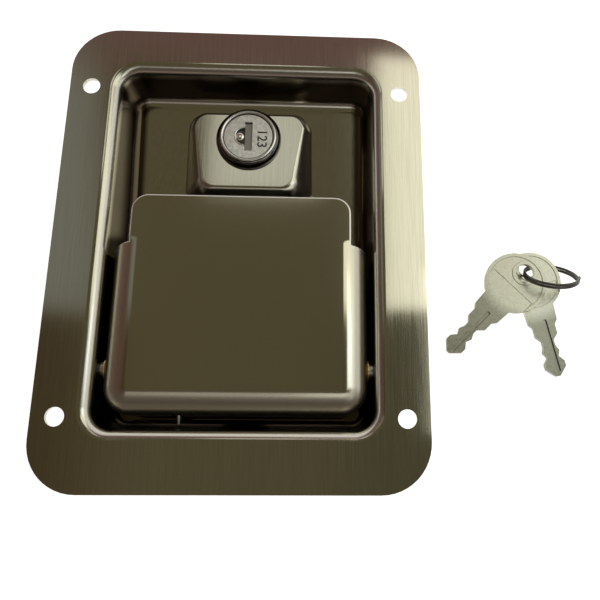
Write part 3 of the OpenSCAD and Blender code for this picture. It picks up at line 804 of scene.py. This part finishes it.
@dataclass
class Pan:
    """The pressed dish with its flange, rolled lip, rising floor and lock boss."""

    flange: Triple = (54.0, 70.0, 14.0)
    wall_x: float = 39.0
    wall_low: float = -53.2
    wall_high: float = 56.0
    corner: float = 6.0
    corner_steps: int = 12
    sheet: float = 1.2
    lip: float = 3.2
    lip_steps: int = 9
    floor: float = -17.8
    floor_round: float = 2.5
    floor_steps: int = 7
    draft: float = 4.5
    bend: float = 15.0
    bend_ease: float = 3.0
    rise: float = 4.5
    boss: float = -10.3
    boss_half: float = 20.0
    boss_taper: Pair = (4.6, 2.2)
    boss_ends: Pair = (17.5, 50.5)
    boss_slope: Pair = (4.5, 2.0)
    boss_round: Pair = (6.5, 2.0)
    boss_middle: float = 34.3
    boss_zone: Triple = (25.0, 13.0, 53.5)
    boss_spread: Pair = (-0.15, 1.25)
    boss_ease: float = 1.25
    boss_steps: int = 16
    hole: Triple = (47.5, 50.0, 2.6)
    lock: float = 39.3
    lock_hole: float = 7.6
    pivot: Pair = (-36.2, -6.8)
    pin_hole: Triple = (40.0, 2.05, 8.0)
    slot_half: float = 8.0
    slot_before: float = 2.25
    slot_length: float = 12.35
    slot_depth: Pair = (4.0, 1.5)
    punch: float = 6.0
    piece: Optional[Piece] = None

    def lift(self, y: float) -> float:
        """Gives how far the floor has risen.

        Args:
            y: the place along the pan.

        Returns:
            The rise, with a soft start at the bend.
        """
        ease = self.bend_ease
        slope = self.rise / (self.wall_high - self.bend)
        ahead = y - self.bend
        if ahead <= -ease:
            return 0.0
        if ahead < ease:
            return slope * (ahead + ease) ** 2 / (4 * ease)
        return slope * ahead

    def boss_corner(self, s: float, right: bool, upper: bool) -> tuple[Vector, float]:
        """Gives a corner of the boss outline between its foot and its face.

        Args:
            s: 0 at the foot and 1 at the face.
            right: whether it is a corner on the right.
            upper: whether it is a corner at the lock end.

        Returns:
            The centre of the corner's arc, and its radius.
        """
        whole, tighter = self.boss_round
        radius = whole - tighter * max(0.0, s)
        half = self.boss_half - self.boss_taper[upper] * s
        inward = self.boss_slope[upper] * s + radius
        y = self.boss_ends[upper] + (-inward if upper else inward)
        return Vector(((half - radius) * (1 if right else -1), y)), radius

    def raise_boss(self, bm: Mesh, edges: Edges, core: Triple) -> None:
        """Carries the floor's outline in to the boss and up to its face.

        Args:
            bm: the mesh.
            edges: the floor's outline.
            core: half width, low end and high end of the rectangle through the floor's corner centres.
        """
        half, low, high = core
        start, end = self.boss_spread
        middle = (low + high) / 2
        for k in range(self.boss_steps):
            t = k / (self.boss_steps - 1)
            s = start + (end - start) * t
            before = start + (end - start) * (k - 1) / (self.boss_steps - 1)
            verts = new_verts(bmesh.ops.extrude_edge_only(bm, edges=edges))
            for vert in verts:
                right, upper = vert.co.x > 0, vert.co.y > middle
                if k == 0:
                    centre = Vector((half if right else -half, high if upper else low))
                else:
                    centre = self.boss_corner(before, right, upper)[0]
                aim = (vert.co.xy - centre).normalized()
                centre, radius = self.boss_corner(s, right, upper)
                vert.co.xy = centre + aim * radius
                vert.co.z = self.floor + (self.boss - self.floor) * math.sin(math.pi / 2 * t**self.boss_ease)
            edges = inner_edges(verts)
            middle = self.boss_middle
        bmesh.ops.edgeloop_fill(bm, edges=edges)

    def build(self) -> None:
        """Presses the dish: outlines are swept down the lip and walls, then bridged to the boss."""
        bm = bmesh.new()
        top = self.sheet
        out = self.lip
        half, end, radius = self.flange
        edge = open_loop(bm, round_face(bm, (half, -end, end), top, radius, self.corner_steps))
        box = (self.wall_x + out, self.wall_low - out, self.wall_high + out)
        mouth = open_loop(bm, round_face(bm, box, top, self.corner + out, self.corner_steps))
        bmesh.ops.bridge_loops(bm, edges=edge + mouth)
        core = (self.wall_x - self.corner, self.wall_low + self.corner, self.wall_high - self.corner)
        lip_z = top - out
        draft = math.radians(self.draft)
        foot = self.floor_round
        centre = -out - (lip_z - self.floor) * math.tan(draft) - foot * (1 - math.tan(draft))
        steps = arc((0.0, lip_z), out, 90.0, 180.0 - self.draft, self.lip_steps)
        steps.append((centre + foot * math.cos(draft), self.floor + foot * (1 - math.sin(draft))))
        steps += arc((centre, self.floor + foot), foot, -self.draft, -90.0, self.floor_steps)
        self.raise_boss(bm, sweep_in(bm, mouth, core, steps), core)
        for share in (-1.0, -0.5, 0.0, 0.5, 1.0):
            slice_mesh(bm, (0, self.bend + share * self.bend_ease, 0), (0, 1, 0))
        self.tilt_floor(bm, lip_z)
        piece = press_sheet(bm, "pan_shell", self.sheet)
        piece.data.materials.append(PAN_FINISH.material())
        cut_away(piece, self.draw_holes)
        self.piece = piece

    def tilt_floor(self, bm: Mesh, lip_z: float) -> None:
        """Lifts the floor towards the lock end, while the boss's face and the lip stay level.

        Args:
            bm: the mesh.
            lip_z: the height from which up nothing moves.
        """
        side, low, high = self.boss_zone
        for vert in bm.verts:
            x, y, z = vert.co
            in_boss = abs(x) < side and low < y < high and z > self.floor - SLACK
            level = self.boss if in_boss and z <= self.boss + SLACK else lip_z
            weight = max(0.0, min(1.0, (level - z) / (level - self.floor)))
            vert.co.z += self.lift(y) * weight

    def draw_holes(self, bm: Mesh) -> None:
        """Adds the shapes that are cut from the pan.

        Args:
            bm: the mesh of the cutter.
        """
        upright = Matrix.Identity(4)
        across = Matrix.Rotation(math.pi / 2, 4, "Y")
        x, y, radius = self.hole
        pin_x, pin_radius, pin_length = self.pin_hole
        for side in (-1, 1):
            for end in (-1, 1):
                add_rod(bm, Vector((side * x, end * y, self.sheet / 2)), radius, self.punch, upright)
        for side in (-1, 1):
            add_rod(bm, Vector((side * pin_x, *self.pivot)), pin_radius, pin_length, across)
        add_rod(bm, Vector((0, self.lock, self.boss)), self.lock_hole, self.punch, upright)
        low = self.pivot[0] - self.slot_before
        below, above = self.slot_depth
        add_box(
            bm,
            Vector((-self.slot_half, low, self.floor - below)),
            Vector((self.slot_half, low + self.slot_length, self.floor + above)),
        )

    def dress(self) -> None:
        """Shades the pan and puts it on its body."""
        smooth_at(self.piece, 35.0)
        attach(self.piece, Body.FRAME.value)
        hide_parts("pan")


@dataclass
class Paddle:
    """The pressed handle: a plate with three bent sides and a finger tab."""

    half: float = 37.2
    low: float = -49.1
    shoulder: float = 0.5
    slant: float = 0.34
    tab_root: float = 1.2
    tab_end: float = 15.0
    tab_half: float = 32.4
    tab_round: float = 5.0
    face: float = 0.7
    sheet: float = 1.4
    bend: float = 6.0
    bend_steps: int = 17
    reach: float = 7.5
    corner: float = 7.8
    corner_steps: int = 8
    depth: float = 12.0
    spare: float = 20.0
    edge: float = 0.65
    pivot: Pair = (-36.2, -6.8)
    bush_hole: float = 2.65
    punch: float = 6.0
    notch: Pair = (-19.0, -15.8)
    notch_depth: float = 2.4
    past: float = 1.0
    piece: Optional[Piece] = None

    def build(self) -> None:
        """Bends the sides down from a flat outline, cuts the far end off and draws the tab out."""
        bm = bmesh.new()
        half = self.half - self.reach
        low = self.low + self.reach
        high = self.shoulder + self.spare
        radius = self.corner - self.reach
        face = round_face(bm, (half, low, high), self.face, radius, self.corner_steps)
        core = (half - radius, low + radius, high - radius)
        turn = arc((0.0, 0.0), 1.0, 90.0, 0.0, self.bend_steps)
        steps = [(x * self.reach, self.face + (z - 1.0) * self.bend) for x, z in turn]
        steps.append((self.reach, self.face - self.depth))
        sweep_in(bm, list(face.edges), core, steps)
        slice_mesh(bm, (0, self.shoulder, 0), (0, 1, 0), clear=True)
        for vert in bm.verts:
            if abs(vert.co.y - self.shoulder) < SLACK:
                vert.co.y -= self.slant * min(self.face - vert.co.z, self.bend)
        self.draw_tab(bm)
        piece = press_sheet(bm, "paddle_shell", self.sheet)
        for finish in (PADDLE_FINISH, EDGE_HIGHLIGHT_FINISH):
            piece.data.materials.append(finish.material())
        soft = piece.modifiers.new("edges", "BEVEL")
        soft.width = self.edge * MM
        soft.segments = 3
        # the bevel's faces take the second slot, the painted edge highlight
        soft.material = 1
        soft.loop_slide = False
        soft.limit_method = "ANGLE"
        soft.angle_limit = math.radians(50)
        cut_away(piece, self.draw_notch)
        self.piece = piece

    def draw_tab(self, bm: Mesh) -> None:
        """Draws the tab out from the plate's end and the start of its bends.

        Args:
            bm: the mesh of the plate.
        """
        near = 0.2
        beside = self.tab_half + 0.05
        end = [
            e
            for e in bm.edges
            if all(abs(v.co.y - self.shoulder) < near and abs(v.co.x) < beside for v in e.verts)
        ]
        tips = sorted(new_verts(bmesh.ops.extrude_edge_only(bm, edges=end)), key=lambda v: v.co.x)
        for vert in tips:
            vert.co.y = self.shoulder + self.tab_root
            vert.co.z = self.face
        far = [bm.verts.new((side * self.tab_half, self.tab_end, self.face)) for side in (1, -1)]
        bm.faces.new(tips + far)
        round_corners(bm, far, self.tab_round, self.corner_steps)

    def draw_notch(self, bm: Mesh) -> None:
        """Adds the shapes that are cut from the paddle.

        Args:
            bm: the mesh of the cutter.
        """
        across = Matrix.Rotation(math.pi / 2, 4, "Y")
        for side in (-1, 1):
            add_rod(bm, Vector((side * self.half, *self.pivot)), self.bush_hole, self.punch, across)
        left, right = self.notch
        add_box(
            bm,
            Vector((left, self.low - self.past, self.face - self.depth - self.past)),
            Vector((right, self.low + self.notch_depth, self.face - self.bend)),
        )

    def dress(self) -> None:
        """Shades the paddle and puts it on its body."""
        smooth_at(self.piece, 40.0)
        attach(self.piece, Body.HANDLE.value)
        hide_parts("paddle")


@dataclass
class Springs:
    """The torsion spring on the pivot pin, and the compression spring behind the bolt."""

    steps: int = 20
    coil_radius: float = 3.3
    paddle_wire: float = 0.6
    paddle_start: Vector = field(default_factory=lambda: Vector((-17.4, -36.2, -6.8)))
    paddle_turns: float = 6.5
    paddle_pitch: float = 1.4
    floor_leg: tuple[Triple, ...] = ((-17.4, -51.1, -13.1), (-17.4, -43.65, -11.8))
    paddle_leg: tuple[Triple, ...] = ((-8.3, -39.35, -2.45), (-8.3, -42.5, -1.4))
    bolt_wire: float = 0.5
    bolt_start: Vector = field(default_factory=lambda: Vector((5.8, -23.4414, -24.2)))
    bolt_turns: float = 9.0
    bolt_pitch: float = 2.9889
    bolt_seat: float = 4.0586
    bolt_low: float = -23.9414
    bolt_travel: float = 9.1
    torsion: Optional[Piece] = None
    compression: Optional[Piece] = None

    def coil(self, start: Vector, turns: float, pitch: float, along: Vector, first: Vector) -> list[Vector]:
        """Lists the points of a coil.

        Args:
            start: the middle of its first turn.
            turns: the number of turns.
            pitch: the distance from turn to turn.
            along: its axis.
            first: the direction from the axis to its first point.

        Returns:
            The points.
        """
        points = []
        for k in range(round(self.steps * turns) + 1):
            arm = Matrix.Rotation(math.tau * k / self.steps, 3, along) @ first
            points.append(start + along * (pitch * k / self.steps) + arm * self.coil_radius)
        return points

    def build(self) -> None:
        """Winds the two springs."""
        x_axis, y_axis, down = Vector((1, 0, 0)), Vector((0, 1, 0)), Vector((0, 0, -1))
        turns = self.coil(self.paddle_start, self.paddle_turns, self.paddle_pitch, x_axis, down)
        line = [Vector(p) for p in self.floor_leg] + turns + [Vector(p) for p in self.paddle_leg]
        self.torsion = make_object(sweep_wire(line, self.paddle_wire), "paddle_coil")
        turns = self.coil(self.bolt_start, self.bolt_turns, self.bolt_pitch, y_axis, x_axis)
        self.compression = make_object(sweep_wire(turns, self.bolt_wire), "bolt_coil")

    def dress(self) -> None:
        """Shades the springs, hides the imported ones and puts the bolt's spring on the frame."""
        for piece in (self.torsion, self.compression):
            piece.data.materials.append(SPRING_FINISH.material())
            piece.data.shade_smooth()
            piece.data.set_sharp_from_angle(angle=math.radians(50.0))
        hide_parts("paddle_spring")
        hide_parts("bolt_spring")
        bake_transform(self.torsion)
        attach(self.compression, Body.FRAME.value)
        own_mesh(self.compression)


@dataclass
class LockFace:
    """What shows on the lock: number, guard and flap of the keyway, and the bezel's bead."""

    lock: float = 39.3
    face: float = -8.1
    number: str = "123"
    height: float = 4.4
    number_at: Pair = (4.3, -0.7)
    number_lift: float = 0.012
    number_depth: float = 0.015
    number_weight: float = 0.05
    slot_x: float = -1.2
    dip: float = 3.0
    dome: Triple = (1.35, 1.35, 0.3)
    dome_x: float = -1.55
    dip_depth: float = 1.2
    dip_gap: float = 0.02
    plate: float = 0.1
    stem: float = 0.99
    rim: Pair = (3.1, 0.24)
    rim_steps: int = 28
    shutter: Triple = (2.3, 9.6, 0.7)
    shutter_sheet: float = 0.3
    bead: Triple = (8.55, 0.6, -8.0)
    bead_steps: int = 96
    piece: Optional[Piece] = None
    guard: Optional[Piece] = None
    flap: Optional[Piece] = None
    ring: Optional[Piece] = None

    def build(self) -> None:
        """Makes the number, the guard, the flap in the keyway and the bezel's bead."""
        self.build_number()
        self.build_guard()
        self.build_flap()
        self.build_bead()

    def build_flap(self) -> None:
        """Makes the plate just inside the mouth of the keyway."""
        bm = bmesh.new()
        width, height, sunk = self.shutter
        low = Vector((-width / 2, self.lock - height / 2, self.face - sunk - self.shutter_sheet))
        add_box(bm, low, low + Vector((width, height, self.shutter_sheet)))
        self.flap = make_object(bm, "keyway_flap")

    def build_bead(self) -> None:
        """Spins the bright bead around the inside of the bezel."""
        bm = bmesh.new()
        radius, wire, z = self.bead
        spin_wire(bm, (radius, 0, 0), "X", wire, math.tau, self.bead_steps)
        bmesh.ops.recalc_face_normals(bm, faces=bm.faces)
        bmesh.ops.translate(bm, vec=(0, self.lock, z), verts=bm.verts)
        self.ring = make_object(bm, "bezel_bead")

    def build_guard(self) -> None:
        """Makes a dome on a stem in the dip, a dark plate under it as painted shade on the dip's floor, and a
        bead around the dip's edge.
        """
        bm = bmesh.new()
        ball = bmesh.ops.create_uvsphere(bm, u_segments=32, v_segments=16, radius=1.0)
        bmesh.ops.scale(bm, vec=self.dome, verts=ball["verts"])
        bmesh.ops.translate(bm, vec=(self.dome_x, 0, -self.dome[2]), verts=ball["verts"])
        upright = Matrix.Identity(4)
        length = self.dip_depth - self.dome[2]
        middle = Vector((self.dome_x, 0, -self.dip_depth + length / 2))
        add_rod(bm, middle, self.dome[0] * self.stem, length, upright)
        # a dark plate on the dip's floor, painted shade in the dip
        middle = Vector((0, 0, -self.dip_depth + self.plate / 2))
        add_rod(bm, middle, self.dip - self.dip_gap, self.plate, upright)
        for face in bm.faces:
            face.material_index = int(face.calc_center_median().z < self.plate - self.dip_depth + SLACK)
        radius, wire = self.rim
        spin_wire(bm, (0, -radius, 0), "Y", wire, -math.pi, self.rim_steps)
        slice_mesh(bm, (0, 0, 0), (1, 0, 0), clear=True)
        bmesh.ops.recalc_face_normals(bm, faces=bm.faces)
        bmesh.ops.translate(bm, vec=(self.slot_x, self.lock, self.face), verts=bm.verts)
        self.guard = make_object(bm, "keyway_guard")

    def build_number(self) -> None:
        """Sets the number along the keyway, turned a quarter."""
        curve = bpy.data.curves.new("plug_number", "FONT")
        curve.body = self.number
        curve.size = self.height * MM
        curve.align_x = "CENTER"
        curve.align_y = "CENTER"
        curve.extrude = self.number_depth * MM
        curve.offset = self.number_weight * MM
        curve.resolution_u = 4
        text = bpy.data.objects.new("plug_number_text", curve)
        bpy.context.scene.collection.objects.link(text)
        mesh = bpy.data.meshes.new_from_object(text.evaluated_get(bpy.context.evaluated_depsgraph_get()))
        bpy.data.objects.remove(text)
        bpy.data.curves.remove(curve)
        x, y = self.number_at
        place = Vector((x, self.lock + y, self.face + self.number_lift)) * MM
        mesh.transform(Matrix.Translation(place) @ Matrix.Rotation(-math.pi / 2, 4, "Z"))
        mesh.name = "plug_number"
        self.piece = bpy.data.objects.new("plug_number", mesh)
        bpy.context.scene.collection.objects.link(self.piece)

    def dress(self) -> None:
        """Gives the pieces their finishes and puts them on the plug, or on the frame for the bead."""
        self.piece.data.materials.append(MARK_AND_SHADE_FINISH.material())
        self.guard.data.materials.append(GUARD_FINISH.material())
        # the guard's second slot is the dark plate: painted shade in the dip
        self.guard.data.materials.append(MARK_AND_SHADE_FINISH.material())
        self.flap.data.materials.append(WAFER_FINISH.material())
        self.ring.data.materials.append(BEAD_FINISH.material())
        smooth_at(self.guard, 50.0)
        smooth_at(self.ring, 50.0)
        for piece in (self.piece, self.guard, self.flap):
            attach(piece, Body.PLUG.value)
        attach(self.ring, Body.FRAME.value)


@dataclass
class KeyRing:
    """The split ring: two turns of wire."""

    centre: Vector = field(default_factory=lambda: Vector((101.4, -1.4, -23.397)))
    radius: float = 8.75
    wire: float = 0.45
    turns: float = 1.95
    pitch: float = 1.0
    tilt: float = -50.0
    steps: int = 124
    piece: Optional[Piece] = None

    def build(self) -> None:
        """Spins a wire section twice around the ring's axis while it moves along."""
        bm = bmesh.new()
        start = (self.radius, 0, -self.turns / 2 * self.pitch)
        climb = self.turns * self.pitch
        spin_wire(bm, start, "X", self.wire, math.tau * self.turns, self.steps, climb)
        bmesh.ops.recalc_face_normals(bm, faces=bm.faces)
        bmesh.ops.transform(
            bm,
            matrix=Matrix.Translation(self.centre) @ Matrix.Rotation(math.radians(self.tilt), 4, "X"),
            verts=bm.verts,
        )
        self.piece = make_object(bm, "split_ring")

    def dress(self) -> None:
        """Gives the ring its dark finish and its body."""
        self.piece.data.materials.append(RING_FINISH.material())
        smooth_at(self.piece, 50.0)
        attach(self.piece, Body.KEY_SET.value)
        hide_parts("key_ring")


@dataclass
class Works:
    """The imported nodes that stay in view: pins, bolt, lock parts and keys."""

    replaced: tuple[str, ...] = ("pan", "paddle", "paddle_spring", "bolt_spring", "key_ring")
    edge: float = 0.15
    weld: float = 0.002
    flat_angle: float = 0.5
    sharp_angle: float = 32.0

    def dress(self) -> None:
        """Gives each node the finish of its slot."""
        finishes = {slot.value: finish for slot, finish in SLOT_FINISH.items()}
        for name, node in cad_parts.items():
            if name in self.replaced:
                continue
            slot = node.material_slots[0].material.name.split(".")[0]
            node.data.materials.clear()
            finish = WAFER_FINISH if name == "lock_wafers" else finishes[slot]
            node.data.materials.append(finish.material())
            self.soften(node)

    def soften(self, node: Piece) -> None:
        """Rounds the edges of a node.

        Args:
            node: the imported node.
        """
        join = node.modifiers.new("join", "WELD")
        join.merge_threshold = self.weld * MM
        plain = node.modifiers.new("plain", "DECIMATE")
        plain.decimate_type = "DISSOLVE"
        plain.angle_limit = math.radians(self.flat_angle)
        soft = node.modifiers.new("edges", "BEVEL")
        soft.width = self.edge * MM
        soft.segments = 2
        soft.limit_method = "ANGLE"
        soft.angle_limit = math.radians(self.sharp_angle)
        even = node.modifiers.new("even_normals", "WEIGHTED_NORMAL")
        even.keep_sharp = True


# Studio


@dataclass
class Softbox:
    """A rectangular lamp overhead."""

    name: str
    at: Triple
    size: Pair
    radiance: float
    colour: Triple = WHITE

    def build(self) -> None:
        """Hangs the lamp facing down, with its power worked out from its radiance."""
        data = bpy.data.lights.new(self.name, "AREA")
        data.shape = "RECTANGLE"
        data.size, data.size_y = self.size
        data.color = self.colour
        data.energy = self.radiance * math.pi * self.size[0] * self.size[1]
        lamp = bpy.data.objects.new(self.name, data)
        lamp.location = self.at
        lamp.visible_camera = False
        bpy.context.scene.collection.objects.link(lamp)


@dataclass
class Studio:
    """Floor, world, lamps and camera."""

    floor_z: float = -0.03105
    floor_size: float = 4.0
    floor_colour: Triple = (0.85, 0.85, 0.85)
    floor_glow: float = 0.86
    ceiling: tuple[tuple[float, Triple], ...] = (
        (0.0, (0.12, 0.065, 0.052)),
        (0.19, (0.13, 0.075, 0.06)),
        (0.31, (0.066, 0.050, 0.025)),
        (0.335, (0.095, 0.075, 0.042)),
        (0.37, (0.115, 0.098, 0.055)),
        (0.50, (0.110, 0.095, 0.054)),
        (0.56, (0.090, 0.082, 0.047)),
        (1.0, (0.090, 0.082, 0.047)),
    )
    band: tuple[tuple[float, Triple], ...] = ((0.19, BLACK), (0.27, WHITE), (0.335, WHITE), (0.355, BLACK))
    band_start: Pair = (0.19, 0.215)
    band_colour: Triple = (0.232, 0.232, 0.200)
    end_tints: tuple[tuple[Pair, Triple], ...] = (
        ((0.51, 0.59), (0.17, 0.10, 0.09)),
        ((-0.05, -0.55), (0.10, 0.08, 0.065)),
    )
    window: Triple = (0.8, 1.0, 0.0)
    window_rise: tuple[float, ...] = (0.2, 0.8, 0.2, 0.6)
    near_rise: tuple[float, ...] = (-0.3, -0.8, 0.0, 0.12)
    horizon: tuple[float, ...] = (-0.10, 0.08, 1.0, 0.0)
    sky: tuple[tuple[float, Triple], ...] = (
        (0.22, (0.26, 0.20, 0.18)),
        (0.42, (0.95, 0.95, 0.95)),
        (1.0, (0.95, 0.92, 0.89)),
    )
    shift: float = -0.05
    clip: Pair = (0.005, 20.0)
    eye: Triple = (0.0196, -0.0582, 0.1674)
    right: Triple = (0.9992, 0.0045, 0.0404)
    up: Triple = (-0.0141, 0.9704, 0.2412)
    back: Triple = (-0.0381, -0.2415, 0.9697)
    lens: float = 36.06
    lamps: list[Softbox] = field(
        default_factory=lambda: [
            Softbox("right_box", (0.431, 0.310, 0.6), (0.638, 0.38), 1.2, (1.0, 0.99, 0.84)),
            Softbox("near_right_box", (0.515, 0.07, 0.6), (0.47, 0.10), 1.3, (0.88, 1.0, 1.15)),
            Softbox("front_box", (-0.11, -0.30, 0.6), (0.26, 0.20), 0.35, (1.0, 0.95, 0.92)),
            Softbox("front_right_box", (0.235, -0.30, 0.6), (0.43, 0.20), 0.8, (0.98, 1.0, 0.94)),
            Softbox("low_right_box", (0.64, -0.35, 0.6), (0.40, 0.50), 0.65, (1.0, 1.0, 0.96)),
            Softbox("key_box", (0.135, -0.005, 0.15), (0.10, 0.09), 0.85, (1.0, 1.0, 0.90)),
            Softbox("boss_box", (-0.045, 0.3625, 0.6), (0.16, 0.145), 0.62, (0.97, 1.0, 0.92)),
        ]
    )

    def build_floor(self) -> None:
        """Lays a white floor that keeps soft shadows and is clear from below."""
        bm = bmesh.new()
        place = Matrix.Translation((0, 0, self.floor_z))
        bmesh.ops.create_grid(bm, x_segments=1, y_segments=1, size=self.floor_size, matrix=place)
        mesh = bpy.data.meshes.new("floor")
        bm.to_mesh(mesh)
        bm.free()
        floor = bpy.data.objects.new("floor", mesh)
        bpy.context.scene.collection.objects.link(floor)
        made = bpy.data.materials.new("white_floor")
        made.use_nodes = True
        tree = made.node_tree
        tree.nodes.clear()
        sink = tree.nodes.new("ShaderNodeOutputMaterial")
        matt = add_node(tree, "ShaderNodeBsdfDiffuse", Color=(*self.floor_colour, 1.0))
        glow = add_node(tree, "ShaderNodeEmission", Color=(*WHITE, 1.0))
        rays = tree.nodes.new("ShaderNodeLightPath").outputs
        seen = calc(tree, "MAXIMUM", rays["Is Camera Ray"], rays["Is Glossy Ray"])
        add = tree.nodes.new("ShaderNodeAddShader")
        side = tree.nodes.new("ShaderNodeNewGeometry")
        clear = tree.nodes.new("ShaderNodeBsdfTransparent")
        open_below = tree.nodes.new("ShaderNodeMixShader")
        link = tree.links.new
        link(calc(tree, "MULTIPLY", seen, self.floor_glow), glow.inputs["Strength"])
        link(matt.outputs["BSDF"], add.inputs[0])
        link(glow.outputs["Emission"], add.inputs[1])
        link(side.outputs["Backfacing"], open_below.inputs["Fac"])
        link(add.outputs["Shader"], open_below.inputs[1])
        link(clear.outputs["BSDF"], open_below.inputs[2])
        link(open_below.outputs["Shader"], sink.inputs["Surface"])
        mesh.materials.append(made)

    def add_ramp(self, tree: Tree, value: Socket, stops: Sequence[tuple[float, Triple]]) -> Socket:
        """Adds a colour ramp.

        Args:
            tree: the node tree.
            value: the place on the ramp.
            stops: places from 0 to 1 and their colours.

        Returns:
            The colour.
        """
        ramp = tree.nodes.new("ShaderNodeValToRGB")
        ends = ramp.color_ramp.elements
        for end in (0, -1):
            ends[end].position = stops[end][0]
            ends[end].color = (*stops[end][1], 1.0)
        for place, colour in stops[1:-1]:
            ends.new(place).color = (*colour, 1.0)
        tree.links.new(value, ramp.inputs["Fac"])
        return ramp.outputs["Color"]

    def build_world(self) -> None:
        """Makes a white surround with a dim ceiling, which the metal shows."""
        world = bpy.data.worlds.new("studio")
        bpy.context.scene.world = world
        world.use_nodes = True
        tree = world.node_tree
        tree.nodes.clear()
        ways = tree.nodes.new("ShaderNodeTexCoord").outputs["Generated"]
        way = axes(tree, ways)
        across = fade(tree, way["X"], -1.0, 1.0)
        along = fade(tree, way["Y"], -1.0, 1.0)
        patch = calc(
            tree, "MULTIPLY", self.add_ramp(tree, across, self.band), fade(tree, way["Y"], *self.band_start)
        )
        colour = mix_colour(tree, patch, self.add_ramp(tree, across, self.ceiling), (*self.band_colour, 1.0))
        for reach, tint in self.end_tints:
            colour = mix_colour(tree, fade(tree, way["Y"], *reach), colour, (*tint, 1.0))
        window = calc(tree, "DOT_PRODUCT", ways, self.window, kind=VECTOR)
        rise = calc(
            tree, "ADD", fade(tree, window, *self.window_rise), fade(tree, way["Y"], *self.near_rise)
        )
        low = fade(tree, calc(tree, "SUBTRACT", way["Z"], rise), *self.horizon)
        low.node.interpolation_type = "SMOOTHSTEP"
        colour = mix_colour(tree, low, colour, self.add_ramp(tree, along, self.sky))
        room = add_node(tree, "ShaderNodeBackground", Strength=1.0)
        white = add_node(tree, "ShaderNodeBackground", Color=(*WHITE, 1.0), Strength=1.0)
        rays = tree.nodes.new("ShaderNodeLightPath")
        mix = tree.nodes.new("ShaderNodeMixShader")
        sink = tree.nodes.new("ShaderNodeOutputWorld")
        link = tree.links.new
        link(colour, room.inputs["Color"])
        link(rays.outputs["Is Camera Ray"], mix.inputs["Fac"])
        link(room.outputs["Background"], mix.inputs[1])
        link(white.outputs["Background"], mix.inputs[2])
        link(mix.outputs["Shader"], sink.inputs["Surface"])

    def build_camera(self) -> None:
        """Places the camera as the photograph's was."""
        data = bpy.data.cameras.new("camera")
        data.sensor_width = 36.0
        data.lens = self.lens
        data.shift_x = self.shift
        data.clip_start, data.clip_end = self.clip
        camera = bpy.data.objects.new("camera", data)
        turn = Matrix((self.right, self.up, self.back)).transposed().to_4x4()
        camera.matrix_world = Matrix.Translation(self.eye) @ turn
        bpy.context.scene.collection.objects.link(camera)
        bpy.context.scene.camera = camera

    def build(self) -> None:
        """Sets up the whole studio."""
        scene = bpy.context.scene
        scene.view_settings.view_transform = "Standard"
        scene.view_settings.look = "None"
        self.build_floor()
        self.build_world()
        self.build_camera()
        for lamp in self.lamps:
            lamp.build()


def main() -> None:
    """Builds the looks and the studio."""
    logging.basicConfig(level=logging.INFO)
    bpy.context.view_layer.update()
    for part in (Pan(), Paddle(), Springs(), LockFace(), KeyRing()):
        LOG.info("building %s", type(part).__name__)
        part.build()
        part.dress()
    Works().dress()
    Studio().build()
    bpy.context.view_layer.update()


if __name__ == "__main__":
    main()
